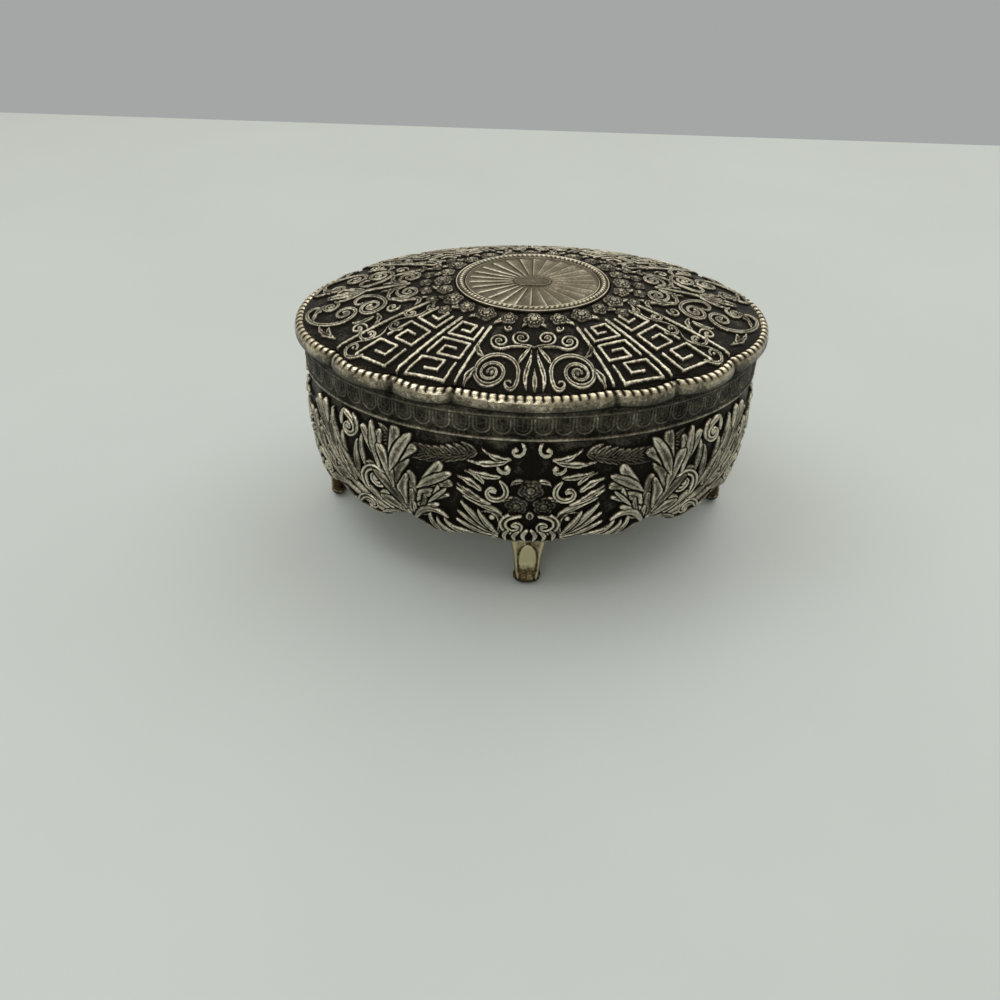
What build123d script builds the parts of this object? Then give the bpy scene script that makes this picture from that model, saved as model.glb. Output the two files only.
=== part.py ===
from build123d import *
import os
from math import cos, radians, sin, sqrt

# A footed trinket box cast in plated white metal. An oval wall with a hanging apron stands on four
# scroll feet, and a domed lid with a scalloped rope border turns on a tube hinge at the back.
# X runs along the box, Y from front to back, Z up. The origin is on the table under the middle.

# Overall sizes, in millimetres
lid_length = 140.0
lid_width = 100.0
rim_height = 63.3
lid_gap = 0.2
lid_overhang = 2.3

# Body casting: how far the outer face stands out from the rim's oval at each height
wall = 2.2
apron_height = 18.4
bead_base = 53.8
bead_height = 1.1
bead_proud = 0.6
wall_heights = [apron_height, 26.0, 35.0, 45.0, bead_base]
wall_swells = [-1.2, 0.2, 0.9, 0.8, -0.3]
# Arched notches in the apron's lower edge: angle from the front, top of the arch, half its chord
apron_notches = [(12.5, 21.0, 7.5), (31.0, 24.2, 6.0), (57.5, 23.6, 6.0), (77.5, 20.8, 4.6)]

# Raised leaves of one quarter of the wall: angle from the front and height of the middle, length,
# width, and lean from the horizontal, where more than 90 leans back towards the front
wall_relief = 0.9
wall_leaves = [
    (26.0, 34.0, 20.0, 4.4, 110.0), (33.0, 38.5, 19.0, 4.4, 74.0), (39.5, 32.0, 20.0, 4.6, 48.0),
    (41.0, 25.2, 14.0, 3.2, 22.0), (53.5, 41.0, 20.0, 3.8, 62.0), (55.5, 30.5, 17.0, 3.8, 44.0),
    (15.0, 31.0, 16.0, 3.4, 50.0), (15.5, 24.8, 14.0, 3.2, 22.0), (72.0, 31.5, 14.0, 3.4, 124.0),
    (71.5, 24.8, 11.0, 3.0, 154.0), (9.5, 47.6, 10.0, 2.2, 10.0),
]
# Curls of one quarter of the wall, and the shield and rose over each foot: angle, height, radius
wall_curls = [(4.3, 25.0, 2.6), (9.2, 37.4, 2.8), (24.0, 23.0, 2.6), (85.4, 25.0, 2.4), (81.2, 37.4, 2.6)]
wall_crests = [(0.0, 35.6, 4.4), (0.0, 46.4, 3.6)]
curl_sides = 8
crest_sides = 6

# Base plate and the ledge that it rests on
ledge_top = 25.0
ledge_thick = 1.5
ledge_width = 2.0
apron_wall = 2.0
plate_thick = 1.5
plate_clearance = 0.15

# Feet, each with a lug inside the apron and a screw through the lug
foot_top_width = 10.6
foot_toe_width = 7.0
toe_radius = 2.6
toe_flat = 0.2
toe_setback = 1.5
foot_clearance = 0.2
neck_clearance = 0.7
lug_thick = 1.8
lug_root = 3.1
lug_width = 8.0
lug_reach = 14.0
screw_inset = 10.5
screw_radius = 1.2
screw_clearance = 0.1
screw_head_radius = 2.2
screw_head_height = 1.2

# Lid casting
border_height = 5.4
border_bevels = [(2.0, 1.2), (1.0, 1.6)]
border_under_bevel = 0.8
notch_round = 0.8
notch_depth = 0.035
dome_apex = 78.6
dome_rise = 11.2
dome_wall = 2.0
lid_inner_inset = 5.0
hollow_levels = [0.9, 0.75, 0.58, 0.42]
# Angles from the front at which the lobes of the lid's edge meet, in one quarter
lobe_angles = [18.5, 33.9, 55.2]
dome_levels = [0.955, 0.8, 0.62, 0.45, 0.3]

# Raised work on the lid
relief_height = 0.9
rib_width = 1.0
key_width = 0.8
# Ribs of one quarter: inner angle, inner level, outer angle
ribs = [(17.9, 0.54, 18.5), (33.3, 0.51, 33.9), (59.4, 0.45, 55.2)]
rib_outer_level = 0.935
# A square hook of the key pattern, drawn from 0 to 1 along the panel and across it
key_hook = [(1, 1), (0, 1), (0, 0), (1, 0), (1, 0.68), (0.45, 0.68), (0.45, 0.32)]
key_spans = [(0.06, 0.29), (0.37, 0.62), (0.7, 0.97)]
key_margin = 0.17
# How far across the side key panels the keys reach, beside a vine
vine_edge = 0.66
# Scrolls of one quarter, each drawn outward from its eye: eye, first angle, then radius and turn of
# each arc, where a turn below zero runs clockwise
scrolls = [
    ((11.0, -41.2), 150, [(3.8, 120), (4.8, 120), (7.0, 70)]),
    ((45.8, -10.6), -120, [(3.8, -120), (5.2, -60), (8.0, -60)]),
]
scroll_width = 1.2
rose_ring = 1.1
rose_count = 24
rose_radii = [2.6, 2.0]
rose_petals = 5
rose_top = 77.8

# Oval medallion let into the top of the lid
medallion_length = 44.8
medallion_width = 39.0
medallion_seat = 76.2
medallion_edge = 1.2
medallion_rope_radius = 0.9
medallion_clearance = 0.15
ray_count = 28
ray_depth = 0.4
cartouche_length = 11.0
cartouche_width = 6.6
cartouche_height = 0.4
medallion_pin_radius = 1.0
medallion_pin_spread = 10.0
medallion_head_radius = 1.8
medallion_head_height = 0.6

# Tube hinge
hinge_set_out = 0.2
tube_radius = 1.5
tube_bore = 0.8
pin_radius = 0.75
knuckle_count = 5
knuckle_length = 6.0
knuckle_gap = 0.2
seat_clearance = 0.02
swing_clearance = 0.35
slot_rise = 2.5
bearer_reach = 1.6
bearer_depth = 2.4
cradle_reach = 1.4
cradle_drop = 0.55

slot_length = 34.0
pin_head_radius = 1.1
pin_head_length = 0.4

# Linings of card and velvet
lining_gap = 0.1
card_thick = 0.8
wall_lining_thick = 1.4
lining_bevel = 0.5
lining_top = 61.2
floor_pad_thick = 2.2
pad_bevel = 0.9
lining_ceiling = 67.5
lid_pad_thick = 2.2

# Worked-out places
lid_rx = lid_length / 2
lid_ry = lid_width / 2
rim_rx = lid_rx - lid_overhang
rim_ry = lid_ry - lid_overhang
lid_base = rim_height + lid_gap
inner_rx = rim_rx - wall
inner_ry = rim_ry - wall
lid_inner_rx = lid_rx - lid_inner_inset
lid_inner_ry = lid_ry - lid_inner_inset
plate_top = ledge_top + plate_thick
hinge_y = rim_ry + hinge_set_out
hinge_z = rim_height + lid_gap / 2
knuckle_pitch = knuckle_length + knuckle_gap
knuckle_places = [(i - (knuckle_count - 1) / 2) * knuckle_pitch for i in range(knuckle_count)]
body_knuckles = knuckle_places[0::2]
lid_knuckles = knuckle_places[1::2]
hinge_length = knuckle_count * knuckle_pitch
hinge_plane = Plane(origin=(0, hinge_y, hinge_z), x_dir=(0, 1, 0), z_dir=(1, 0, 0))


def oval_point(angle, rx, ry, factor=1.0):
    """A point of an oval, its angle counted from the front towards +X."""
    return (rx * factor * sin(radians(angle)), -ry * factor * cos(radians(angle)))


def dome_height(level, drop=0.0):
    """The dome's height where the lid's oval is shrunk by level."""
    return dome_apex - drop - dome_rise * level**2


def all_lobe_angles():
    """The angles of all the places where two lobes of the lid's edge meet."""
    quarter = lobe_angles
    half = quarter + [180 - a for a in reversed(quarter)]
    return half + [360 - a for a in reversed(half)]


def outward_plane(angle, height):
    """A plane that stands on the wall, with X along the wall, Y up and Z straight out."""
    x, y = oval_point(angle, rim_rx, rim_ry)
    normal = Vector(x / rim_rx**2, y / rim_ry**2, 0).normalized()
    along = Vector(0, 0, 1).cross(normal)
    return Plane(origin=(x, y, height), x_dir=along, z_dir=normal)


def foot_plane(direction):
    """A plane that cuts a foot down its middle, with X straight out and Y up."""
    out = Vector(*direction)
    edge = (out.X * rim_rx, out.Y * rim_ry, 0)
    return Plane(origin=edge, x_dir=out, z_dir=out.cross(Vector(0, 0, 1)))


def swell_at(height):
    """How far the wall stands out from the rim's oval at a height."""
    places = list(zip(wall_heights, wall_swells))
    for (low, first), (high, second) in zip(places, places[1:]):
        if height <= high:
            return first + (second - first) * (height - low) / (high - low)
    return wall_swells[-1]


def rooted(plane, height):
    """A plane moved back into the wall, and how far raised work that starts there is extruded."""
    root = wall - lining_gap
    return plane.offset(-root), root + swell_at(height) + wall_relief


def raised_leaf(angle, height, length, width, lean):
    """A leaf that stands out from the wall, pointed at both ends and fuller on its upper side."""
    upright, amount = rooted(outward_plane(angle, height), height)
    along = upright.x_dir * cos(radians(lean)) + upright.y_dir * sin(radians(lean))
    plane = Plane(upright.origin, x_dir=along, z_dir=upright.z_dir)
    with BuildPart() as leaf:
        with BuildSketch(plane):
            with BuildLine():
                ThreePointArc((-length / 2, 0), (0, width * 0.65), (length / 2, 0))
                ThreePointArc((length / 2, 0), (0, -width * 0.35), (-length / 2, 0))
            make_face()
        extrude(amount=amount)
    return leaf.part


def raised_boss(angle, height, radius, sides):
    """A curl, rose or shield that stands out from the wall."""
    plane, amount = rooted(outward_plane(angle, height), height)
    with BuildPart() as boss:
        with BuildSketch(plane):
            RegularPolygon(radius, sides)
        extrude(amount=amount)
    return boss.part


# Raised pattern of the wall, made in one quarter and mirrored
with BuildPart() as wall_pattern:
    for leaf in wall_leaves:
        add(raised_leaf(*leaf))
    for angle, height, radius in wall_curls:
        add(raised_boss(angle, height, radius, curl_sides))
    for angle, height, radius in wall_crests:
        for middle in (angle, 90 - angle):
            add(raised_boss(middle, height, radius, crest_sides))
    mirror(about=Plane.YZ)
    mirror(about=Plane.XZ)

# Body casting
with BuildPart() as body_shell:
    for height, swell in zip(wall_heights, wall_swells):
        with BuildSketch(Plane.XY.offset(height)):
            Ellipse(rim_rx + swell, rim_ry + swell)
    loft()
    add(wall_pattern.part)
    # Bead that runs round under the band, and the upright band above it
    with BuildSketch(Plane.XY.offset(bead_base)):
        Ellipse(rim_rx + bead_proud, rim_ry + bead_proud)
    extrude(amount=bead_height)
    with BuildSketch(Plane.XY.offset(bead_base + bead_height)):
        Ellipse(rim_rx, rim_ry)
    extrude(amount=rim_height - bead_base - bead_height)
    # Bearers that carry the body's hinge tubes
    for x in body_knuckles:
        with BuildSketch(Plane.YZ.offset(x - knuckle_length / 2)):
            with Locations((hinge_y, rim_height)):
                Polygon(
                    (-tube_radius - wall / 2, 0), (bearer_reach, 0), (bearer_reach, -bearer_depth),
                    (-hinge_set_out - wall / 2, -2 * bearer_depth), (-tube_radius - wall / 2, -bearer_depth),
                    align=None,
                )
        extrude(amount=knuckle_length)
    # Room inside, the ledge under the plate and the hollow inside the apron
    with BuildSketch(Plane.XY.offset(ledge_top)):
        Ellipse(inner_rx, inner_ry)
    extrude(amount=lid_width, mode=Mode.SUBTRACT)
    with BuildSketch(Plane.XY.offset(ledge_top - ledge_thick)):
        Ellipse(inner_rx - ledge_width, inner_ry - ledge_width)
    extrude(amount=ledge_thick, mode=Mode.SUBTRACT)
    with BuildSketch():
        Ellipse(rim_rx + wall_swells[0] - apron_wall, rim_ry + wall_swells[0] - apron_wall)
    extrude(amount=ledge_top - ledge_thick, mode=Mode.SUBTRACT)
    # Arched notches of the apron, the same in each quarter
    for angle, top, half_chord in apron_notches:
        rise = top - apron_height
        radius = (half_chord**2 + rise**2) / (2 * rise)
        for side in (angle, 180 - angle, 180 + angle, 360 - angle):
            with BuildSketch(outward_plane(side, top - radius)):
                Circle(radius)
            extrude(amount=2 * wall, both=True, mode=Mode.SUBTRACT)
    # Channel for the hinge tubes along the back of the rim
    for places, clearance in ((body_knuckles, seat_clearance), (lid_knuckles, swing_clearance)):
        for x in places:
            half = knuckle_length / 2 + knuckle_gap / 2
            with BuildSketch(hinge_plane.offset(x - half)):
                Circle(tube_radius + clearance)
            extrude(amount=2 * half, mode=Mode.SUBTRACT)
body_shell.part.label = "body_shell"

# Base plate, tapped for the four foot screws
foot_directions = {"front": (0, -1), "right": (1, 0), "back": (0, 1), "left": (-1, 0)}
screw_places = [
    (x * (rim_rx - screw_inset), y * (rim_ry - screw_inset)) for x, y in foot_directions.values()
]
with BuildPart() as base_plate:
    with BuildSketch(Plane.XY.offset(ledge_top)):
        Ellipse(inner_rx - plate_clearance, inner_ry - plate_clearance)
        with Locations(*screw_places):
            Circle(screw_radius + screw_clearance / 2, mode=Mode.SUBTRACT)
    extrude(amount=plate_thick)
base_plate.part.label = "base_plate"


def make_foot(direction):
    """A scroll foot: a lug under the plate, a neck inside the apron, and a leg that ends in a curled toe."""
    middle = foot_plane(direction)
    lug_top = ledge_top
    leg_top = apron_height - foot_clearance
    behind_apron = wall_swells[0] - apron_wall - neck_clearance
    behind_ledge = -wall - ledge_width - neck_clearance
    toe_out = -toe_setback - toe_radius
    toe_up = toe_radius - toe_flat
    with BuildPart() as foot:
        with BuildSketch(middle) as side_view:
            with BuildLine():
                top_front = (wall_swells[0] - foot_clearance, leg_top)
                Polyline(
                    top_front, (behind_apron, leg_top),
                    (behind_apron, ledge_top - ledge_thick - foot_clearance),
                    (behind_ledge, ledge_top - ledge_thick - foot_clearance), (behind_ledge, lug_top),
                    (-lug_reach, lug_top), (-lug_reach, lug_top - lug_thick),
                    (behind_ledge - lug_root, lug_top - lug_thick),
                )
                Spline(
                    (behind_ledge - lug_root, lug_top - lug_thick), (-6.6, 15.5), (-5.4, 9.0),
                    (toe_out - toe_radius * 0.8, toe_up),
                )
                Line((toe_out - toe_radius * 0.8, toe_up), (toe_out + toe_radius * 0.6, toe_up))
                Spline((toe_out + toe_radius * 0.6, toe_up), (-2.9, 8.6), top_front)
            make_face()
            with Locations((toe_out, toe_up)):
                Circle(toe_radius)
        extrude(amount=foot_top_width / 2, both=True)
        # The leg narrows towards the toe, and the lug is narrower than the neck
        with BuildSketch(Plane(middle.origin, x_dir=-middle.z_dir, z_dir=middle.x_dir)):
            Polygon(
                (-foot_toe_width / 2, 0), (foot_toe_width / 2, 0), (foot_toe_width / 2, 2 * toe_radius),
                (foot_top_width / 2, leg_top), (lug_width / 2, lug_top), (-lug_width / 2, lug_top),
                (-foot_top_width / 2, leg_top), (-foot_toe_width / 2, 2 * toe_radius), align=None,
            )
        extrude(amount=2 * lug_reach, both=True, mode=Mode.INTERSECT)
        with BuildSketch(Plane(middle.origin + middle.x_dir * -screw_inset)):
            Circle(screw_radius + screw_clearance)
        extrude(amount=lug_top, mode=Mode.SUBTRACT)
    return foot


feet = {side: make_foot(direction) for side, direction in foot_directions.items()}
for side, foot in feet.items():
    foot.part.label = "foot_" + side

# Screws that hold the feet to the plate
with BuildPart() as foot_screws:
    head_top = ledge_top - lug_thick
    with BuildSketch(Plane.XY.offset(head_top - screw_head_height)):
        with Locations(*screw_places):
            Circle(screw_head_radius)
    extrude(amount=screw_head_height)
    with BuildSketch(Plane.XY.offset(head_top)):
        with Locations(*screw_places):
            Circle(screw_radius)
    extrude(amount=plate_top - head_top)
foot_screws.part.label = "foot_screws"


def rib_point(rib, along):
    """A point of a rib, from 0 at its inner end to 1 at its outer end."""
    inner_angle, inner_level, outer_angle = rib
    inner = Vector(*oval_point(inner_angle, lid_rx, lid_ry, inner_level))
    outer = Vector(*oval_point(outer_angle, lid_rx, lid_ry, rib_outer_level))
    return inner + (outer - inner) * along


def panel_point(first, second, along, across):
    """A point of the panel between two ribs, from 0 to 1 along it and across it."""
    start = rib_point(first, along)
    return start + (rib_point(second, along) - start) * across


def touching_plane(point):
    """The plane that touches the dome over a point of the oval."""
    height = dome_height(sqrt((point.X / lid_rx) ** 2 + (point.Y / lid_ry) ** 2))
    slope_x = 2 * dome_rise * point.X / lid_rx**2
    slope_y = 2 * dome_rise * point.Y / lid_ry**2
    return Plane(origin=(point.X, point.Y, height), z_dir=(slope_x, slope_y, 1))


def stand_up(drawing, point):
    """A drawing as raised work, cut off level with the dome under the point."""
    with BuildPart() as piece:
        with BuildSketch(Plane.XY.offset(lid_base)):
            add(drawing.sketch)
        extrude(amount=lid_width)
        split(bisect_by=touching_plane(point).offset(relief_height), keep=Keep.BOTTOM)
    return piece.part


def draw_rib(rib):
    """The straight rib between two panels."""
    with BuildSketch() as drawing:
        with BuildLine():
            Line(rib_point(rib, 0), rib_point(rib, 1))
        trace(line_width=rib_width)
    return drawing


def draw_key(first, second, far, low, high, turned):
    """A square hook of the key pattern, between two ribs."""
    corners = [(1 - u, 1 - v) for u, v in key_hook] if turned else key_hook
    with BuildSketch() as drawing:
        with BuildLine():
            Polyline(
                *[
                    panel_point(first, second, low + (high - low) * u, key_margin + (far - key_margin) * v)
                    for u, v in corners
                ]
            )
        trace(line_width=key_width)
    return drawing


def draw_scroll(eye, angle, arcs):
    """A scroll that unrolls from its eye, arc by arc."""
    first_radius, first_turn = arcs[0]
    outward = Vector(cos(radians(angle)), sin(radians(angle)))
    start = Vector(*eye) + outward * first_radius
    heading = outward.rotate(Axis.Z, 90 if first_turn > 0 else -90)
    with BuildSketch() as drawing:
        with BuildLine():
            for radius, turn in arcs:
                arc = JernArc(start, heading, radius, turn)
                start = arc @ 1
                heading = arc % 1
        trace(line_width=scroll_width)
    return drawing


# Raised pattern of the lid, drawn in one quarter and mirrored
with BuildPart() as raised_pattern:
    for rib in ribs:
        add(stand_up(draw_rib(rib), rib_point(rib, 0.5)))
    for first, second, far in ((ribs[0], ribs[1], 1 - key_margin), (ribs[1], ribs[2], vine_edge)):
        for number, (low, high) in enumerate(key_spans):
            centre = panel_point(first, second, (low + high) / 2, (key_margin + far) / 2)
            add(stand_up(draw_key(first, second, far, low, high, number != 1), centre))
    for eye, angle, arcs in scrolls:
        add(stand_up(draw_scroll(eye, angle, arcs), Vector(*eye)))
    mirror(about=Plane.YZ)
    mirror(about=Plane.XZ)

# Lid casting
with BuildPart() as lid_shell:
    # Rolled border with a scalloped edge
    with BuildSketch(Plane.XY.offset(lid_base)) as lid_outline:
        with BuildLine():
            meeting = all_lobe_angles()
            for first, second in zip(meeting, meeting[1:] + [meeting[0] + 360]):
                ThreePointArc(
                    oval_point(first, lid_rx, lid_ry, 1 - notch_depth),
                    oval_point((first + second) / 2, lid_rx, lid_ry),
                    oval_point(second, lid_rx, lid_ry, 1 - notch_depth),
                )
        make_face()
        fillet(lid_outline.vertices(), notch_round)
    extrude(amount=border_height)
    for rise, run in border_bevels:
        chamfer(lid_shell.faces().sort_by(Axis.Z)[-1].edges(), rise, run)
    chamfer(lid_shell.faces().sort_by(Axis.Z)[0].edges(), border_under_bevel)
    # Dome, with its raised pattern and the ring of roses round the medallion
    for level in dome_levels:
        with BuildSketch(Plane.XY.offset(dome_height(level))):
            Ellipse(lid_rx * level, lid_ry * level)
    loft()
    add(raised_pattern.part)
    with BuildSketch(Plane.XY.offset(rose_top)):
        for number in range(rose_count):
            angle = 360 * number / rose_count
            with Locations(oval_point(angle, medallion_length / 2, medallion_width / 2, rose_ring)):
                RegularPolygon(rose_radii[number % 2], rose_petals, rotation=angle)
    extrude(amount=-2 * dome_wall)
    # Seat of the medallion, and the holes for its two pins
    with BuildSketch(Plane.XY.offset(medallion_seat)):
        Ellipse(
            medallion_length / 2 + medallion_clearance, medallion_width / 2 + medallion_clearance
        )
    extrude(amount=lid_width, mode=Mode.SUBTRACT)
    with BuildSketch(Plane.XY.offset(lid_base)):
        with GridLocations(2 * medallion_pin_spread, 1, 2, 1):
            Circle(medallion_pin_radius + medallion_clearance / 3)
    extrude(amount=lid_width, mode=Mode.SUBTRACT)
    # Room inside: a straight part that takes the lining, then the hollow of the dome
    with BuildSketch(Plane.XY.offset(lid_base)):
        Ellipse(lid_inner_rx, lid_inner_ry)
    extrude(amount=lining_ceiling - lid_base, mode=Mode.SUBTRACT)
    for level in hollow_levels:
        with BuildSketch(Plane.XY.offset(dome_height(level, dome_wall))):
            Ellipse(lid_rx * level, lid_ry * level)
    loft(mode=Mode.SUBTRACT)
    # Slot across the back for the hinge, with saddles that sit on the lid's own tubes
    with BuildSketch(Plane.YZ.offset(-slot_length / 2)):
        with Locations((hinge_y - tube_radius - swing_clearance, lid_base)):
            Rectangle(lid_overhang * 3, slot_rise, align=(Align.MIN, Align.MIN))
    extrude(amount=slot_length, mode=Mode.SUBTRACT)
    for x in lid_knuckles:
        with BuildSketch(Plane.YZ.offset(x - knuckle_length / 2)):
            with Locations((hinge_y, hinge_z + cradle_drop)):
                Rectangle(2 * cradle_reach, lid_base + slot_rise - hinge_z, align=(Align.CENTER, Align.MIN))
        extrude(amount=knuckle_length)
        with BuildSketch(hinge_plane.offset(x - knuckle_length / 2)):
            Circle(tube_radius + seat_clearance)
        extrude(amount=knuckle_length, mode=Mode.SUBTRACT)
lid_shell.part.label = "lid_shell"

# Medallion: a rayed oval with a plain cartouche and a rope edge, held by two pins peened inside
with BuildPart() as lid_medallion:
    with BuildSketch(Plane.XY.offset(medallion_seat)):
        Ellipse(medallion_length / 2, medallion_width / 2)
    extrude(amount=medallion_edge)
    ray_rx = medallion_length / 2 - 2 * medallion_rope_radius
    ray_ry = medallion_width / 2 - 2 * medallion_rope_radius
    with BuildSketch(Plane.XY.offset(medallion_seat + medallion_edge)) as rays:
        Ellipse(ray_rx, ray_ry)
        with BuildSketch(mode=Mode.INTERSECT):
            for number in range(ray_count):
                start = 360 * number / ray_count
                near = oval_point(start, medallion_length, medallion_width)
                far = oval_point(start + 180 / ray_count, medallion_length, medallion_width)
                Polygon((0, 0), near, far, align=None)
    extrude(amount=ray_depth)
    with BuildSketch(Plane.XY.offset(medallion_seat + medallion_edge)):
        Ellipse(cartouche_length / 2, cartouche_width / 2)
    extrude(amount=ray_depth + cartouche_height, taper=10)
    # Raised edge
    with BuildSketch(Plane.XY.offset(medallion_seat + medallion_edge)):
        Ellipse(medallion_length / 2, medallion_width / 2)
        Ellipse(ray_rx, ray_ry, mode=Mode.SUBTRACT)
    extrude(amount=medallion_rope_radius)
    # Pins through the lid, with their peened heads
    head_level = dome_height(hollow_levels[-1], dome_wall)
    for level, radius in ((medallion_seat, medallion_pin_radius), (head_level, medallion_head_radius)):
        with BuildSketch(Plane.XY.offset(level)):
            with GridLocations(2 * medallion_pin_spread, 1, 2, 1):
                Circle(radius)
        extrude(amount=head_level - medallion_head_height - level)
lid_medallion.part.label = "lid_medallion"


def make_tubes(places):
    """Tubes of the hinge, one at each place along X."""
    with BuildPart() as tubes:
        for x in places:
            with BuildSketch(hinge_plane.offset(x - knuckle_length / 2)):
                Circle(tube_radius)
                Circle(tube_bore, mode=Mode.SUBTRACT)
            extrude(amount=knuckle_length)
    return tubes


# Hinge: tubes soldered to the body and to the lid by turns, and the pin with a burred head at each end
hinge_body_tubes = make_tubes(body_knuckles)
hinge_body_tubes.part.label = "hinge_body_tubes"
hinge_lid_tubes = make_tubes(lid_knuckles)
hinge_lid_tubes.part.label = "hinge_lid_tubes"
with BuildPart() as hinge_pin:
    with BuildSketch(hinge_plane.offset(-hinge_length / 2)):
        Circle(pin_radius)
    extrude(amount=hinge_length)
    for side in (-1, 1):
        with BuildSketch(hinge_plane.offset(side * hinge_length / 2)):
            Circle(pin_head_radius)
        extrude(amount=side * pin_head_length)
hinge_pin.part.label = "hinge_pin"

# Linings: card covered with velvet on the floor, round the wall and in the lid
floor_rx = inner_rx - lining_gap - wall_lining_thick
floor_ry = inner_ry - lining_gap - wall_lining_thick
with BuildPart() as wall_lining:
    with BuildSketch(Plane.XY.offset(plate_top)):
        Ellipse(inner_rx - lining_gap, inner_ry - lining_gap)
        Ellipse(floor_rx, floor_ry, mode=Mode.SUBTRACT)
    extrude(amount=lining_top - plate_top)
    chamfer(wall_lining.faces().sort_by(Axis.Z)[-1].edges().sort_by(SortBy.LENGTH)[0], lining_bevel)
wall_lining.part.label = "wall_lining"
with BuildPart() as floor_card:
    with BuildSketch(Plane.XY.offset(plate_top)):
        Ellipse(floor_rx - lining_gap, floor_ry - lining_gap)
    extrude(amount=card_thick)
floor_card.part.label = "floor_card"
with BuildPart() as floor_velvet:
    with BuildSketch(Plane.XY.offset(plate_top + card_thick)):
        Ellipse(floor_rx - lining_gap, floor_ry - lining_gap)
    extrude(amount=floor_pad_thick)
    chamfer(floor_velvet.faces().sort_by(Axis.Z)[-1].edges(), pad_bevel)
floor_velvet.part.label = "floor_velvet"
with BuildPart() as lid_card:
    with BuildSketch(Plane.XY.offset(lining_ceiling - card_thick)):
        Ellipse(lid_inner_rx - lining_gap, lid_inner_ry - lining_gap)
    extrude(amount=card_thick)
lid_card.part.label = "lid_card"
with BuildPart() as lid_velvet:
    with BuildSketch(Plane.XY.offset(lining_ceiling - card_thick - lid_pad_thick)):
        Ellipse(lid_inner_rx - lining_gap, lid_inner_ry - lining_gap)
    extrude(amount=lid_pad_thick)
    chamfer(lid_velvet.faces().sort_by(Axis.Z)[0].edges(), pad_bevel)
lid_velvet.part.label = "lid_velvet"

os.makedirs("parts", exist_ok=True)
for side, foot in feet.items():
    export_step(foot.part, "parts/foot_" + side + ".step")
export_step(body_shell.part, "parts/body_shell.step")
export_step(base_plate.part, "parts/base_plate.step")
export_step(foot_screws.part, "parts/foot_screws.step")
export_step(lid_shell.part, "parts/lid_shell.step")
export_step(lid_medallion.part, "parts/lid_medallion.step")
export_step(hinge_body_tubes.part, "parts/hinge_body_tubes.step")
export_step(hinge_lid_tubes.part, "parts/hinge_lid_tubes.step")
export_step(hinge_pin.part, "parts/hinge_pin.step")
export_step(wall_lining.part, "parts/wall_lining.step")
export_step(floor_card.part, "parts/floor_card.step")
export_step(floor_velvet.part, "parts/floor_velvet.step")
export_step(lid_card.part, "parts/lid_card.step")
export_step(lid_velvet.part, "parts/lid_velvet.step")
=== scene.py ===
import math

import bpy
import numpy as np
from bpy.props import FloatProperty, FloatVectorProperty, IntProperty, PointerProperty
from mathutils import Matrix, Vector


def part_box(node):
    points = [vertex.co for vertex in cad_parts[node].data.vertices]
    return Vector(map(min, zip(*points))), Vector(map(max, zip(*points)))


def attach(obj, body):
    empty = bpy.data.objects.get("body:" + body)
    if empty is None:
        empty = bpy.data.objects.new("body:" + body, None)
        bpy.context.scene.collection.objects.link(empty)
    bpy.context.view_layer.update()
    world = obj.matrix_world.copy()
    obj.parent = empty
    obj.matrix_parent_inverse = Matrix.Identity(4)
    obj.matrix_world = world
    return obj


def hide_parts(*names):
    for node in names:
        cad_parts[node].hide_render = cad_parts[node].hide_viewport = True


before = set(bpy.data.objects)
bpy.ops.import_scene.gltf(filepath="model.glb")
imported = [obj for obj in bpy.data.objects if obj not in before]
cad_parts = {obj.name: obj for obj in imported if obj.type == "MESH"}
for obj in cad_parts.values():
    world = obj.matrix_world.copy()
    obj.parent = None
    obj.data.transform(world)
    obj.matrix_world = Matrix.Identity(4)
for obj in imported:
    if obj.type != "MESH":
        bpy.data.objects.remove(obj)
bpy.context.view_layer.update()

bl_info = {
    "name": "Footed trinket box",
    "version": (1, 0, 0),
    "blender": (4, 5, 0),
    "location": "View3D > Sidebar > Trinket Box",
    "description": "Dresses the cast and chased metal, the velvet linings and the stage of a trinket box",
    "category": "Object",
}

# Lengths are in millimetres while a shape is worked out, and in metres on every mesh
MM = 0.001
TURN = 2 * math.pi

# Places that come from the frame
lid_low, lid_high = (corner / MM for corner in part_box("lid_shell"))
disc_low, disc_high = (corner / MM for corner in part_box("lid_medallion"))
lining_low, lining_high = (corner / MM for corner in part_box("wall_lining"))
LID_RX = lid_high.x
LID_BASE = lid_low.z
RIM_Z = (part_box("body_shell")[1] / MM).z
TOP_Z = disc_high.z
DISC_RX, DISC_RY = disc_high.x, disc_high.y

# The ovals of the lid's edge, of the wall's rim and of the hollow under the lid
LID_RY = 50.0
LID_OVERHANG = 2.3
RIM_RX, RIM_RY = LID_RX - LID_OVERHANG, LID_RY - LID_OVERHANG
LID_RIM_WIDTH = 5.0
LID_INNER = (LID_RX - LID_RIM_WIDTH, LID_RY - LID_RIM_WIDTH)
WALL = 2.2

# The medallion: its face, and how far its visible underside stands above the bottom of its tenon
DISC_FACE = 77.35
DISC_SUNK = 1.6

# The dome: its height falls with the square of the distance from the middle
DOME_APEX = 78.6
DOME_RISE = 11.2
DOME_THICK = 1.9
BORDER_WIDTH = 2.6

# The lid's scalloped edge: where two lobes meet in the first quarter, and how far they are cut in
LOBE_ANGLES = (18.5, 33.9, 55.2)
NOTCH_DEPTH = 0.035

# Wall heights and how far the wall stands out there from the rim's oval
WALL_HEIGHTS = (18.4, 26.0, 35.0, 45.0, 53.8)
WALL_SWELLS = (-1.3, 0.0, 0.6, 0.5, -0.4)
WALL_TOP = WALL_HEIGHTS[-1]

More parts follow.
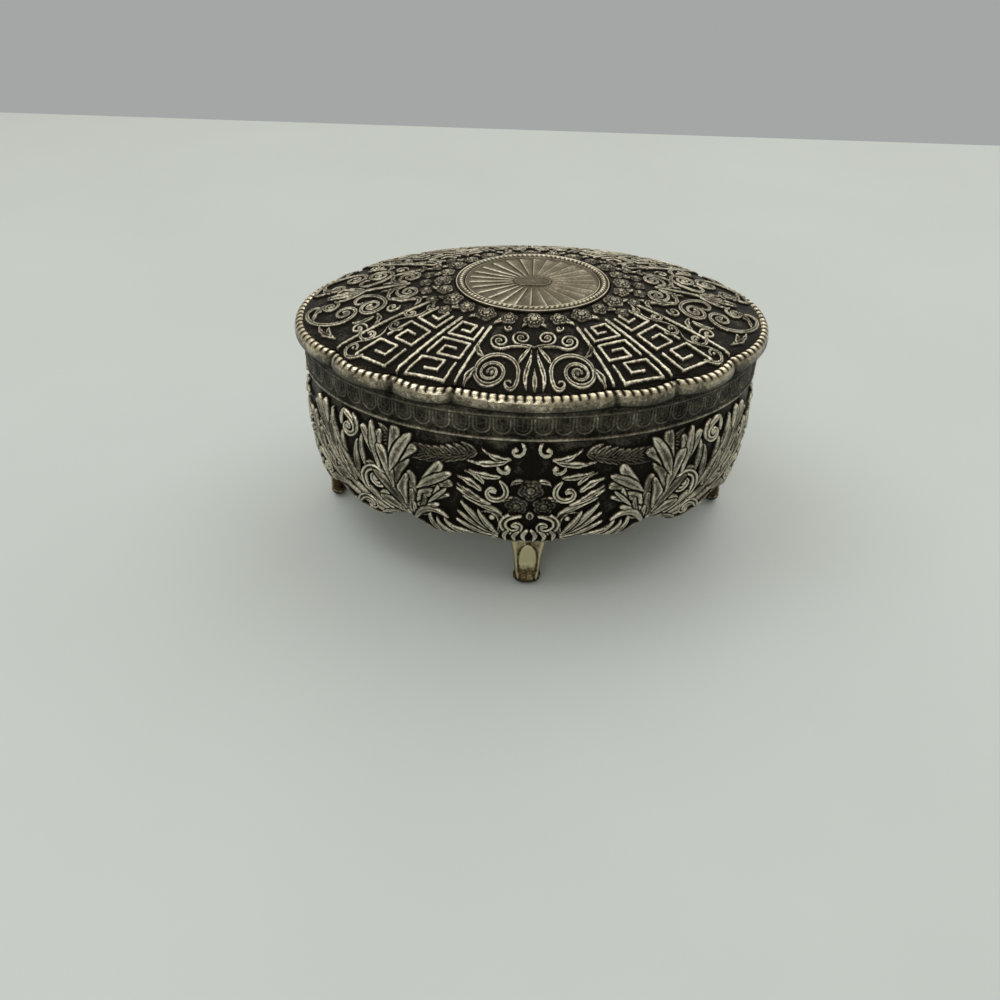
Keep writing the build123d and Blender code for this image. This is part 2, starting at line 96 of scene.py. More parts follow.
# The hinge: its axis, the bore of its blocks, the channel in the band, and the slot in the lid
HINGE_Y = RIM_RY + 0.2
HINGE_Z = RIM_Z + 0.1
HINGE_BORE = 1.51
CHANNEL = 1.55
CHANNEL_HALF = 15.6
SLOT_HALF = 17.0
SLOT_RISE = 2.5

# The band of tongues: its bead, the middle of each tongue's round foot, and the points across a tongue
BEAD_Z = 54.35
TONGUE_FOOT = 58.4
TONGUE_COLUMNS = 20

# The feet
TOE_RADIUS = 2.58

# The velvet pads: points round and across them, the frames they are simulated for, and how far they may swell
PAD_COLUMNS, PAD_ROWS = 128, 20
PAD_FRAMES = 20
PAD_SWELL = 0.55

# How fine each mesh is: its points round or along, and its rows across
DOME_COLUMNS, DOME_ROWS = 381, 172
WALL_COLUMNS, WALL_ROWS = 401, 165
DISC_COLUMNS = 672
FOOT_COLUMNS, FOOT_ROWS = 96, 64
TOE_COLUMNS, TOE_ROWS = 64, 45
LINING_COLUMNS, LINING_ROWS = 480, 36

# The quarters of the lid and the wall, each a mirror image of the first, about X and Y
QUARTERS = {"front_right": (1, 1), "front_left": (-1, 1), "back_right": (1, -1), "back_left": (-1, -1)}


# Curves of numbers

def bell(away, width):
    """A smooth bump: 1 at zero, and nearly gone at twice the width."""
    return np.exp(-((away / width) ** 2))


def ease(value, width):
    """0 below zero and 1 above the width, with an even slope between."""
    return np.clip(value / width, 0, 1)


def dome_of(ratio):
    """The height of a half circle at a share of its radius."""
    return np.sqrt(np.maximum(0, 1 - ratio**2))


def full_turn(count):
    """Angles that go once round, without the last."""
    return np.linspace(0, TURN, count, endpoint=False)


def lengths(vectors):
    """The length of each vector, as a column."""
    return np.linalg.norm(vectors, axis=-1, keepdims=True)


# Drawing in relief

def along_arcs(eye, angle, arcs, step=0.3):
    """Points of a scroll that unrolls from its eye, arc by arc. A turn below zero runs clockwise."""
    heading = math.radians(angle)
    side = 1 if arcs[0][1] > 0 else -1
    x = eye[0] + arcs[0][0] * math.cos(heading)
    y = eye[1] + arcs[0][0] * math.sin(heading)
    heading += side * math.pi / 2
    points = [(x, y)]
    for radius, turn in arcs:
        count = max(3, int(abs(math.radians(turn)) * radius / step))
        part = math.radians(turn) / count
        for _ in range(count):
            heading += part / 2
            length = 2 * radius * math.sin(abs(part) / 2)
            x += length * math.cos(heading)
            y += length * math.sin(heading)
            heading += part / 2
            points.append((x, y))
    return np.array(points)


def along_curve(points, count=28):
    """Points of the smooth curve that two, three or four control points give."""
    t = np.linspace(0, 1, count)[:, None]
    points = np.repeat(np.array(points, float)[:, None], count, 1)
    while len(points) > 1:
        points = points[:-1] * (1 - t) + points[1:] * t
    return points[0]


def along_line(points, step=0.6):
    """Points of a straight-sided line, close enough together for a stroke."""
    result = []
    for first, second in zip(points, points[1:]):
        first, second = np.array(first, float), np.array(second, float)
        count = max(2, int(np.linalg.norm(second - first) / step))
        result.extend(first + (second - first) * i / count for i in range(count))
    result.append(np.array(points[-1], float))
    return np.array(result)


class Relief:
    """A height field over a grid of points, on which strokes, leaves and roses are raised."""

    def __init__(self, u, v):
        self.u, self.v = u, v
        self.height = np.zeros(u.shape)

    def near(self, points, reach):
        """Indices of the grid's points within reach of the box round some points."""
        low, high = points.min(0) - reach, points.max(0) + reach
        inside = (self.u > low[0]) & (self.u < high[0]) & (self.v > low[1]) & (self.v < high[1])
        return np.nonzero(inside)

    def stroke(self, points, widths, height, shape="cord", veins=0.0):
        """Raises a stroke along points. widths are half widths, at each point or for the whole stroke."""
        points = np.asarray(points, float)
        widths = np.broadcast_to(np.asarray(widths, float), (len(points),)).copy()
        place = self.near(points, widths.max())
        if not len(place[0]):
            return
        u, v = self.u[place], self.v[place]
        start, step = points[:-1], np.diff(points, axis=0)
        length = np.maximum((step**2).sum(1), 1e-9)
        run = np.concatenate([[0], np.cumsum(np.sqrt(length))])
        best = np.full(len(u), 9.0)
        side = np.zeros(len(u))
        along = np.zeros(len(u))
        for i in range(len(step)):
            du, dv = u - start[i, 0], v - start[i, 1]
            t = np.clip((du * step[i, 0] + dv * step[i, 1]) / length[i], 0, 1)
            away = np.hypot(du - t * step[i, 0], dv - t * step[i, 1])
            width = widths[i] + t * (widths[i + 1] - widths[i])
            ratio = away / np.maximum(width, 0.05)
            closer = ratio < best
            best[closer] = ratio[closer]
            side[closer] = np.sign(step[i, 0] * dv - step[i, 1] * du)[closer] * away[closer]
            along[closer] = (run[i] + t * (run[i + 1] - run[i]))[closer]
        inside = best < 1
        place = tuple(p[inside] for p in place)
        ratio, side, along = best[inside], side[inside], along[inside]
        crown = np.sqrt(1 - ratio**2)
        if shape == "cord":
            profile = crown
        elif shape == "ribbon":
            profile = np.minimum(1, 1.5 * crown) * (1 - 0.36 * bell(ratio, 0.34))
        elif shape == "flat":
            profile = np.minimum(1, 2.2 * crown)
        elif shape == "lobe":
            streaks = 0.5 - 0.5 * np.cos(TURN * side / 1.3)
            profile = crown * (1 - 0.3 * bell(ratio, 0.2) - 0.16 * streaks) * 1.1
        elif shape == "leaf":
            profile = np.minimum(1, 1.5 * crown) * (1 - 0.5 * bell(ratio, 0.16))
        elif shape == "hollow":
            profile = np.minimum(1, 2.0 * crown) * (0.55 + 0.45 * ratio**2)
        else:
            raise ValueError("no such shape of stroke: " + shape)
        if veins:
            lines = np.cos(TURN * (along * 0.25 - np.abs(side)) / veins)
            profile = profile * (1 - 0.16 * (1 - lines) / 2)
        self.lay(place, height * profile)

    def lay(self, place, raised):
        """Raises some points, and presses down what was there before."""
        self.height[place] = np.maximum(raised, 0.2 * self.height[place])

    def scroll(self, eye, angle, arcs, width, height, bead=0.0):
        """A scroll that is thick in its outer turn and thin at its eye and tail, with a bead in its eye."""
        points = along_arcs(eye, angle, arcs)
        t = np.linspace(0, 1, len(points))
        self.stroke(
            points, width * np.minimum(1, 0.55 + t * 1.2) * np.minimum(1, (1.02 - t) * 6 + 0.25), height,
            "ribbon" if width > 0.5 else "cord",
        )
        if bead:
            self.ball(eye, bead, height)

    def ball(self, centre, radius, height):
        """Raises a round boss."""
        place = self.near(np.array([centre]), radius)
        away = np.hypot(self.u[place] - centre[0], self.v[place] - centre[1]) / radius
        self.height[place] = np.maximum(self.height[place], height * dome_of(away))

    def leaf(self, points, width, height, lobes=0, veins=0.8, blunt=0.6, shape="leaf"):
        """A long leaf, pointed at its tip, with lobed edges and a vein down its middle."""
        line = along_curve(points)
        t = np.linspace(0, 1, len(line))
        widths = width * np.sin(np.pi * np.clip(t, 0.02, 1) ** blunt) ** (0.55 if shape == "lobe" else 0.8)
        if lobes:
            widths = widths * (1 + 0.22 * np.cos(TURN * lobes * t))
        self.stroke(line, np.maximum(widths, 0.08), height, shape, veins)

    def leaves(self, table, height, **style):
        """Leaves of one style, each given by its points and then its width."""
        for *points, width in table:
            self.leaf(points, width, height, **style)

    def acanthus(self, points, width, height, lobes):
        """A broad leaf of long blades that run beside its rib and curl outwards one after another."""
        line = along_curve(points, 48)
        ahead = np.gradient(line, axis=0)
        ahead = ahead / np.linalg.norm(ahead, axis=1, keepdims=True)
        for number in range(lobes):
            t = 0.16 + 0.72 * number / max(1, lobes - 1)
            start, hinge, forward = line[int(max(0, t - 0.32) * 47)], line[int(t * 47)], ahead[int(t * 47)]
            across = np.array([-forward[1], forward[0]])
            long = width * (1.15 - 0.45 * t)
            for side in (1, -1):
                elbow = hinge + across * side * 0.3 * long
                tip = hinge + (forward * 0.5 + across * side * 0.98) * long
                level = height * (0.98 - 0.14 * ((number + (side > 0)) % 2))
                self.leaf((start, elbow, tip), width * 0.39, level, veins=0, blunt=1.1, shape="lobe")
        last = (line[24], line[38], line[47])
        self.leaf(last, width * 0.36, height, veins=0, blunt=1.0, shape="lobe")

    def rose(self, centre, radius, height, turn=0.0, petals=5):
        """A full rose: two rings of petals that overlap about a bud."""
        place = self.near(np.array([centre]), radius)
        du, dv = self.u[place] - centre[0], self.v[place] - centre[1]
        angle = np.arctan2(dv, du) + turn
        away = np.hypot(du, dv) / radius / (0.93 + 0.07 * np.cos(petals * angle))
        body = dome_of(away) ** 0.6
        crease = np.zeros(len(du))
        for ring, (at, inner, shift) in enumerate(((0.7, 0.74, 0.0), (0.38, 0.42, math.pi))):
            wave = np.cos(petals * angle + shift)
            crease = np.maximum(crease, bell(away - at - 0.05 * wave, 0.075))
            outer = 1.1 if ring == 0 else 0.7
            between = bell(1 - np.abs(np.sin((petals * angle + shift) / 2)), 0.1)
            crease = np.maximum(crease, 0.8 * between * (away > inner) * (away < outer))
        raised = height * body * (1 - 0.2 * away) * (1 - 0.42 * crease)
        inside = away < 1
        self.lay(tuple(p[inside] for p in place), raised[inside])

    def below(self, reach):
        """How far each point lies below the mean of its surroundings."""
        spread = self.height.copy()
        for axis in (0, 1):
            for _ in range(2):
                pad = [(0, 0), (0, 0)]
                pad[axis] = (reach + 1, reach)
                total = np.cumsum(np.pad(spread, pad, mode="edge"), axis=axis)
                count = spread.shape[axis]
                high = np.take(total, range(2 * reach + 1, 2 * reach + 1 + count), axis=axis)
                low = np.take(total, range(0, count), axis=axis)
                spread = (high - low) / (2 * reach + 1)
        return spread - self.height

    def shown(self, size):
        """The attributes that the metal reads: height with its crests, which wear bright and also carry a
        painted highlight, and depth below the surroundings.
        """
        near = self.below(2) / size
        # Crests are made brighter: wear on the high places, with a painted highlight along them
        crest_wear_and_light = np.clip(-near * 2.4, 0, 0.5)
        return {
            "relief": np.clip(self.height / size, 0, 1) ** 1.3 * 0.56 + crest_wear_and_light,
            "recess": np.clip(np.maximum(self.below(5), 0) / size * 1.2 + np.maximum(near, 0) * 2.2, 0, 0.9),
        }


# Shapes of the casting

def oval(angle, rx, ry):
    """Points of an oval, their angles counted from the front towards +X."""
    return np.stack([rx * np.sin(angle), -ry * np.cos(angle)], -1)


def lobed_factor(angle):
    """How far the lid's scalloped edge is shrunk from its oval at each angle."""
    half = [*LOBE_ANGLES, *(180 - a for a in reversed(LOBE_ANGLES))]
    meeting = half + [360 - a for a in reversed(half)]
    known_angle, known_factor = [], []
    for first, second in zip(meeting, meeting[1:] + [meeting[0] + 360]):
        middle = (first + second) / 2
        a, b, c = (
            oval(math.radians(at), LID_RX, LID_RY) * factor
            for at, factor in ((first, 1 - NOTCH_DEPTH), (middle, 1), (second, 1 - NOTCH_DEPTH))
        )
        d = 2 * (a[0] * (b[1] - c[1]) + b[0] * (c[1] - a[1]) + c[0] * (a[1] - b[1]))
        cx = (a @ a * (b[1] - c[1]) + b @ b * (c[1] - a[1]) + c @ c * (a[1] - b[1])) / d
        cy = (a @ a * (c[0] - b[0]) + b @ b * (a[0] - c[0]) + c @ c * (b[0] - a[0])) / d
        start = math.atan2(a[1] - cy, a[0] - cx)
        sweep = (math.atan2(c[1] - cy, c[0] - cx) - start) % TURN
        radius = math.hypot(a[0] - cx, a[1] - cy)
        turn = start + sweep * np.linspace(0, 1, 40)[:-1]
        x, y = (cx + radius * np.cos(turn)) / LID_RX, (cy + radius * np.sin(turn)) / LID_RY
        known_angle.extend(np.unwrap(np.arctan2(x, -y)))
        known_factor.extend(np.hypot(x, y))
    known_angle = np.array(known_angle) % TURN
    order = np.argsort(known_angle)
    known_factor = np.array(known_factor)[order]
    softened = np.zeros(np.shape(angle))
    for shift in np.linspace(-0.013, 0.013, 7):
        at = (np.asarray(angle) + shift) % TURN
        softened = softened + np.interp(at, known_angle[order], known_factor, period=TURN) / 7
    return softened


def lid_outline(angle):
    """Points of the lid's scalloped edge."""
    return oval(angle, LID_RX, LID_RY) * lobed_factor(angle)[:, None]


def dome_height(x, y):
    """Height of the plain dome over a place."""
    return DOME_APEX - DOME_RISE * ((x / LID_RX) ** 2 + (y / LID_RY) ** 2)


def wall_swell(z):
    """How far the wall stands out from the rim's oval at a height, in straight stretches."""
    return np.interp(z, WALL_HEIGHTS, WALL_SWELLS)


def rim_normal(angle):
    """Outward directions of the rim's oval."""
    normal = oval(angle, 1 / RIM_RX, 1 / RIM_RY)
    return normal / lengths(normal)


def rim_length(steps):
    """Length along the rim's oval from the first of many close angles to each of them."""
    speed = np.hypot(RIM_RX * np.cos(steps), RIM_RY * np.sin(steps))
    return np.concatenate([[0], np.cumsum((speed[1:] + speed[:-1]) / 2 * np.diff(steps))])


def arc_length(angle):
    """Length along the wall from the front to an angle, in one quarter."""
    steps = np.linspace(0, math.pi / 2, 400)
    return np.interp(angle, steps, rim_length(steps))


QUARTER = float(arc_length(math.pi / 2))


# Meshes

def grid_faces(rows, columns, wrap=False, first=0):
    """The four-sided faces of a grid whose points are numbered row by row."""
    row = np.arange(rows - 1)[:, None]
    column = np.arange(columns if wrap else columns - 1)[None, :]
    near = first + row * columns + column
    far = first + row * columns + (column + 1) % columns
    return np.stack([near, far, far + columns, near + columns], -1).reshape(-1, 4)


def tube_faces(rows, columns, first=0):
    """The faces of a tube whose points are numbered ring by ring, with one face over each end."""
    last = first + (rows - 1) * columns
    return [
        *grid_faces(rows, columns, wrap=True, first=first).tolist(),
        list(range(first, first + columns)),
        list(range(last, last + columns)),
    ]


def row_at(plan, z):
    """A row of points from their plan, at one height or at a height for each."""
    return np.column_stack([plan, np.broadcast_to(z, len(plan))])


class Rings:
    """The closed rings of points of a piece, gathered with the values that its metal reads."""

    def __init__(self):
        self.points, self.relief, self.recess = [], [], []

    def add(self, plan, z, relief=0.5, recess=0.0):
        """Adds a ring, each of whose values is one number or a number for each point."""
        self.points.append(row_at(plan, z))
        self.relief.append(np.broadcast_to(relief, len(plan)))
        self.recess.append(np.broadcast_to(recess, len(plan)))

    def values(self):
        """The values of all points, as the attributes of a mesh."""
        return {"relief": np.concatenate(self.relief), "recess": np.concatenate(self.recess)}


def new_piece(name, points, faces, values=None):
    """A mesh object from points in millimetres, with its faces turned outwards."""
    mesh = bpy.data.meshes.new(name)
    mesh.from_pydata((np.asarray(points) * MM).tolist(), [], [list(f) for f in faces])
    for key, value in (values or {}).items():
        layer = mesh.attributes.new(key, "FLOAT", "POINT")
        layer.data.foreach_set("value", np.ascontiguousarray(value, dtype=np.float32))
    piece = bpy.data.objects.new(name, mesh)
    bpy.context.scene.collection.objects.link(piece)
    select_only(piece)
    bpy.ops.object.mode_set(mode="EDIT")
    bpy.ops.mesh.select_all(action="SELECT")
    bpy.ops.mesh.normals_make_consistent(inside=False)
    bpy.ops.object.mode_set(mode="OBJECT")
    bpy.ops.object.shade_smooth()
    return piece


def select_only(piece):
    """Makes a piece the only selected object, and the active one."""
    bpy.ops.object.select_all(action="DESELECT")
    piece.select_set(True)
    bpy.context.view_layer.objects.active = piece


def finish_piece(piece, body, finish):
    """Gives a finished piece its material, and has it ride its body."""
    piece.data.materials.clear()
    piece.data.materials.append(material_of(finish))
    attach(piece, body)


def quarter_shells(prefix, body, outer, inner, shown):
    """Four closed quarters of a shell, from an outer and a plainer inner grid. Gives the first quarter."""
    rows, columns = outer.shape[:2]
    plain = inner.shape[0]
    points = np.concatenate([outer.reshape(-1, 3), inner.reshape(-1, 3)])
    start = rows * columns
    faces = [*grid_faces(rows, columns).tolist(), *grid_faces(plain, columns, first=start).tolist()]
    for edge, other in ((0, start), ((rows - 1) * columns, start + (plain - 1) * columns)):
        faces += [[edge + i, edge + i + 1, other + i + 1, other + i] for i in range(columns - 1)]
    for column in (0, columns - 1):
        faces.append(
            [r * columns + column for r in range(rows)]
            + [start + r * columns + column for r in reversed(range(plain))]
        )
    plain_value = np.full(plain * columns, 0.3)
    shown = {key: np.concatenate([value.ravel(), plain_value]) for key, value in shown.items()}
    pieces = []
    for name, (over_x, over_y) in QUARTERS.items():
        piece = new_piece(prefix + name, points * (over_x, over_y, 1), faces, shown)
        finish_piece(piece, body, "cast_silver")
        pieces.append(piece)
    return pieces[0]


def ring_shell(name, rows, values=None):
    """A closed ring from rows of points that go once round its section."""
    grid = np.stack(rows)
    count, columns = grid.shape[:2]
    faces = grid_faces(count, columns, wrap=True).tolist()
    last = (count - 1) * columns
    faces += [[last + i, last + (i + 1) % columns, (i + 1) % columns, i] for i in range(columns)]
    return new_piece(name, grid.reshape(-1, 3), faces, values)


# Ornament of the lid, in one quarter

# Each rib's angle and share of the oval at its inner end, and its angle at the border
RIBS = ((17.9, 0.54, 18.5), (33.3, 0.51, 33.9), (59.4, 0.45, 55.2))
RIB_END = 0.945
# The key pattern: one hook in a unit square, where each hook lies along its panel, and the panel's margins
KEY_HOOK = ((1, 1), (0, 1), (0, 0), (1, 0), (1, 0.68), (0.45, 0.68), (0.45, 0.32))
KEY_SPANS = ((0.06, 0.29), (0.37, 0.62), (0.7, 0.97))
KEY_MARGIN = 0.17
VINE_EDGE = 0.66


def rib_point(rib, along):
    """A place along a rib, from the medallion at 0 to the border at 1."""
    inner = oval(math.radians(rib[0]), LID_RX, LID_RY) * rib[1]
    outer = oval(math.radians(rib[2]), LID_RX, LID_RY) * RIB_END
    return inner + (outer - inner) * along


def panel_point(first, second, along, across):
    """A place between two ribs, along them and across from the first to the second."""
    start = rib_point(first, along)
    return start + (rib_point(second, along) - start) * across


# Scrolls: the eye, the angle at which the scroll leaves it, its arcs as radius and turn, and its width
FRONT_SCROLLS = (
    (
        (11.0, -41.4), 0,
        ((1.2, 180), (2.0, 180), (2.9, 180), (3.7, 180), (5.6, 180), (12.0, 20), (1.4, 170), (0.8, 150)),
        0.72,
    ),
    ((3.6, -30.0), 180, ((0.8, -180), (1.4, -180), (2.0, -180), (2.6, -90), (6.0, 30)), 0.56),
    ((9.4, -31.0), 180, ((0.8, -180), (1.4, -180), (2.0, -180), (2.7, -110), (9.0, 40)), 0.58),
    ((6.8, -26.4), 90, ((0.7, 200), (1.2, 90)), 0.45),
)
SIDE_SCROLLS = (
    (
        (45.8, -10.6), 90,
        ((1.2, -180), (2.0, -180), (2.9, -180), (4.0, -120), (8.5, -50), (2.4, -150), (1.2, -90)), 0.76,
    ),
    (
        (53.2, -11.6), 60,
        ((1.2, 180), (2.0, 180), (3.0, 150), (5.0, 60), (10.5, 80), (2.2, 170), (1.3, 60)), 0.76,
    ),
    ((35.6, -5.4), 100, ((0.9, 180), (1.6, 180), (2.4, 180), (3.6, 110)), 0.66),
    ((58.2, -5.6), 330, ((0.8, -180), (1.4, -180), (2.1, -150), (3.0, -60)), 0.62),
    ((48.0, -20.4), 60, ((0.8, 180), (1.4, 180), (2.2, 120)), 0.58),
    ((39.4, -12.4), 270, ((0.8, -180), (1.4, -180), (2.1, -90)), 0.56),
)


def draw_lid(relief, size):
    """All the raised work on one quarter of the dome."""
    for rib in RIBS:
        relief.stroke(along_line((rib_point(rib, 0), rib_point(rib, 1))), 0.42, size, "flat")
    for first, second, far in ((RIBS[0], RIBS[1], 1 - KEY_MARGIN), (RIBS[1], RIBS[2], VINE_EDGE)):
        for number, (low, high) in enumerate(KEY_SPANS):
            hook = KEY_HOOK if number == 1 else [(1 - u, 1 - v) for u, v in KEY_HOOK]
            corners = [
                panel_point(first, second, low + (high - low) * u, KEY_MARGIN + (far - KEY_MARGIN) * v)
                for u, v in hook
            ]
            relief.stroke(along_line(corners), 0.37, size, "flat")
    for eye, angle, arcs, width in FRONT_SCROLLS + SIDE_SCROLLS:
        relief.scroll(eye, angle, arcs, width * 0.84, size * 0.9, bead=width * 1.2)
    # The lyre in the middle of the front panel
    relief.leaf(((2.2, -46.6), (3.3, -42.0), (0.9, -39.4), (0.7, -34.4)), 0.72, size * 0.9, blunt=0.8)
    relief.leaf(((4.0, -38.6), (3.6, -36.6), (1.6, -35.0), (0.8, -32.6)), 0.66, size * 0.9)
    relief.leaf(((0.0, -46.8), (0.3, -44.0), (0.0, -40.5)), 0.6, size * 0.85)
    relief.leaf(((15.3, -40.0), (17.6, -41.6), (18.6, -46.0)), 1.0, size, lobes=2)
    # Stem and spear leaves of the side panel
    relief.stroke(along_line(((35.9, 0.0), (51.0, 0.0))), 0.5, size, "flat")
    relief.leaf(((50.0, 0.0), (54.5, -1.6), (60.2, -0.6)), 0.95, size)
    relief.leaf(((49.0, -0.4), (53.4, -3.8), (57.4, -4.0)), 0.9, size)
    relief.leaf(((40.9, -7.9), (35.0, -10.6), (28.6, -9.4)), 0.9, size, lobes=3)
    relief.leaf(((44.5, -16.0), (47.5, -18.4), (50.4, -17.0)), 0.8, size)
    relief.leaf(((57.0, -17.4), (57.4, -20.6), (54.2, -22.6)), 0.85, size)
    relief.leaf(((36.6, -1.4), (39.6, -3.0), (43.6, -2.4)), 0.7, size)
    relief.leaves((
        ((60.4, -4.2), (63.6, -7.6), (62.2, -12.6), 0.8),
        ((55.6, -21.6), (59.6, -19.0), (60.4, -14.2), 0.8),
        ((33.0, -9.0), (30.8, -10.6), (33.4, -13.4), 0.8),
        ((43.4, -14.8), (41.6, -18.2), (44.6, -20.6), 0.8),
        ((39.4, -1.2), (42.8, -5.2), (40.2, -8.6), 0.8),
        ((13.4, -36.0), (15.4, -34.4), (14.6, -31.4), 0.8),
    ), size * 0.85, lobes=3)
    # Vine that curls along the third rib
    for number, (along, radius) in enumerate(((0.1, 1.3), (0.28, 1.6), (0.48, 2.0), (0.7, 2.5), (0.91, 2.9))):
        side = 1 if number % 2 else -1
        eye = panel_point(RIBS[1], RIBS[2], along, 0.84 + 0.03 * side)
        turn = -45 + 90 * side
        arcs = ((radius * 0.45, 150 * side), (radius * 0.8, 130 * side), (radius * 1.5, 60 * side))
        relief.scroll(eye, turn, arcs, 0.52, size * 0.95, bead=0.6)
    vine = [
        panel_point(RIBS[1], RIBS[2], along, 0.83 + 0.08 * math.cos(along * 14))
        for along in np.linspace(0.04, 0.97, 40)
    ]
    relief.stroke(np.array(vine), 0.26, size * 0.75)


# Ornament of the wall, in one quarter: length along the wall from the middle of a foot, and height

BLADE = {"veins": 0, "blunt": 0.85, "shape": "lobe"}
# The group over a side foot is this much narrower than the one over the front foot
SIDE_SHARE = 0.86


def draw_foot_group(relief, place, size):
    """The shield, roses, scrolls and leaves over a foot. place turns the drawing into wall places."""
    def leaves(table, height, **style):
        relief.leaves([[*(place(*p) for p in points), width] for *points, width in table], height, **style)

    def scroll(eye, angle, arcs, width, bead):
        line = along_arcs(eye, angle, arcs)
        t = np.linspace(0, 1, len(line))
        line = np.array([place(*p) for p in line])
        widths = width * np.minimum(1, 0.5 + t * 1.3) * np.minimum(1, (1.02 - t) * 5 + 0.3)
        relief.stroke(line, widths, size, "ribbon")
        relief.ball(place(*eye), bead, size)

    # Blades that fan out from beside the foot
    leaves((
        ((9.0, 20.2), (16.0, 19.4), (22.4, 22.6), 1.1),
        ((9.0, 20.8), (15.4, 21.4), (21.0, 26.0), 1.3),
        ((9.2, 21.4), (14.6, 23.4), (20.4, 29.2), 1.35),
        ((9.2, 21.6), (14.6, 25.4), (19.4, 33.0), 1.4),
        ((9.0, 21.4), (13.0, 25.4), (14.6, 30.4), 1.2),
        ((8.0, 29.6), (12.0, 31.8), (18.8, 35.2), 1.3),
        ((11.0, 33.0), (15.0, 34.0), (20.6, 37.6), 1.1),
    ), size, **BLADE)
    leaves((((8.8, 22.0), (6.6, 26.6), (8.4, 31.6), (13.6, 29.6), 1.15),), size, shape="hollow")
    relief.ball(place(10.6, 27.8), 1.1, size)
    # Scrolls over the foot, and the pair beside the roses
    scroll((3.7, 24.8), 20, ((1.1, 150), (2.1, 120), (3.2, 130), (5.0, 40)), 1.25, 1.15)
    leaves((
        ((0.6, 23.0), (2.8, 21.0), (1.0, 18.6), 1.1),
        ((3.0, 22.6), (5.4, 20.8), (3.8, 18.6), 1.1),
        ((6.0, 23.0), (8.0, 21.2), (6.6, 18.9), 1.1),
    ), size, veins=0, shape="lobe")
    scroll((10.6, 37.6), 200, ((0.9, -150), (2.0, -120), (2.9, -120), (5.0, -40)), 0.9, 1.0)
    # Curls and small leaves on both sides of the shield
    scroll((4.4, 51.0), 180, ((0.6, -150), (1.2, -130), (2.0, -100), (8.0, -30)), 0.5, 0.65)
    scroll((6.6, 45.4), 0, ((0.6, 160), (1.2, 120), (2.2, 80)), 0.5, 0.65)
    leaves((
        ((5.8, 48.2), (9.6, 47.4), (13.6, 51.0), 0.9),
        ((7.0, 47.4), (12.0, 45.6), (17.6, 47.0), 1.0),
        ((8.6, 42.4), (12.6, 42.0), (17.0, 44.0), 1.0),
        ((13.8, 37.6), (16.4, 40.4), (20.6, 41.6), 1.1),
        ((13.0, 40.0), (14.0, 42.6), (18.0, 43.4), 0.8),
        ((14.0, 34.6), (17.0, 36.2), (20.4, 39.0), 0.9),
    ), size * 0.85, lobes=2)
    # Leaves of the shield, and the roses
    leaves((
        ((4.6, 34.6), (6.0, 36.0), (7.4, 34.0), 0.9),
        ((2.0, 41.0), (4.4, 41.6), (5.6, 39.6), 0.9),
        ((0.0, 30.0), (0.8, 28.6), (0.0, 27.6), 0.9),
    ), size * 0.7)
    relief.rose(place(0.0, 38.0), 3.9, size * 0.68, 0.3)
    relief.rose(place(3.8, 32.3), 3.5, size * 0.68, 1.1)


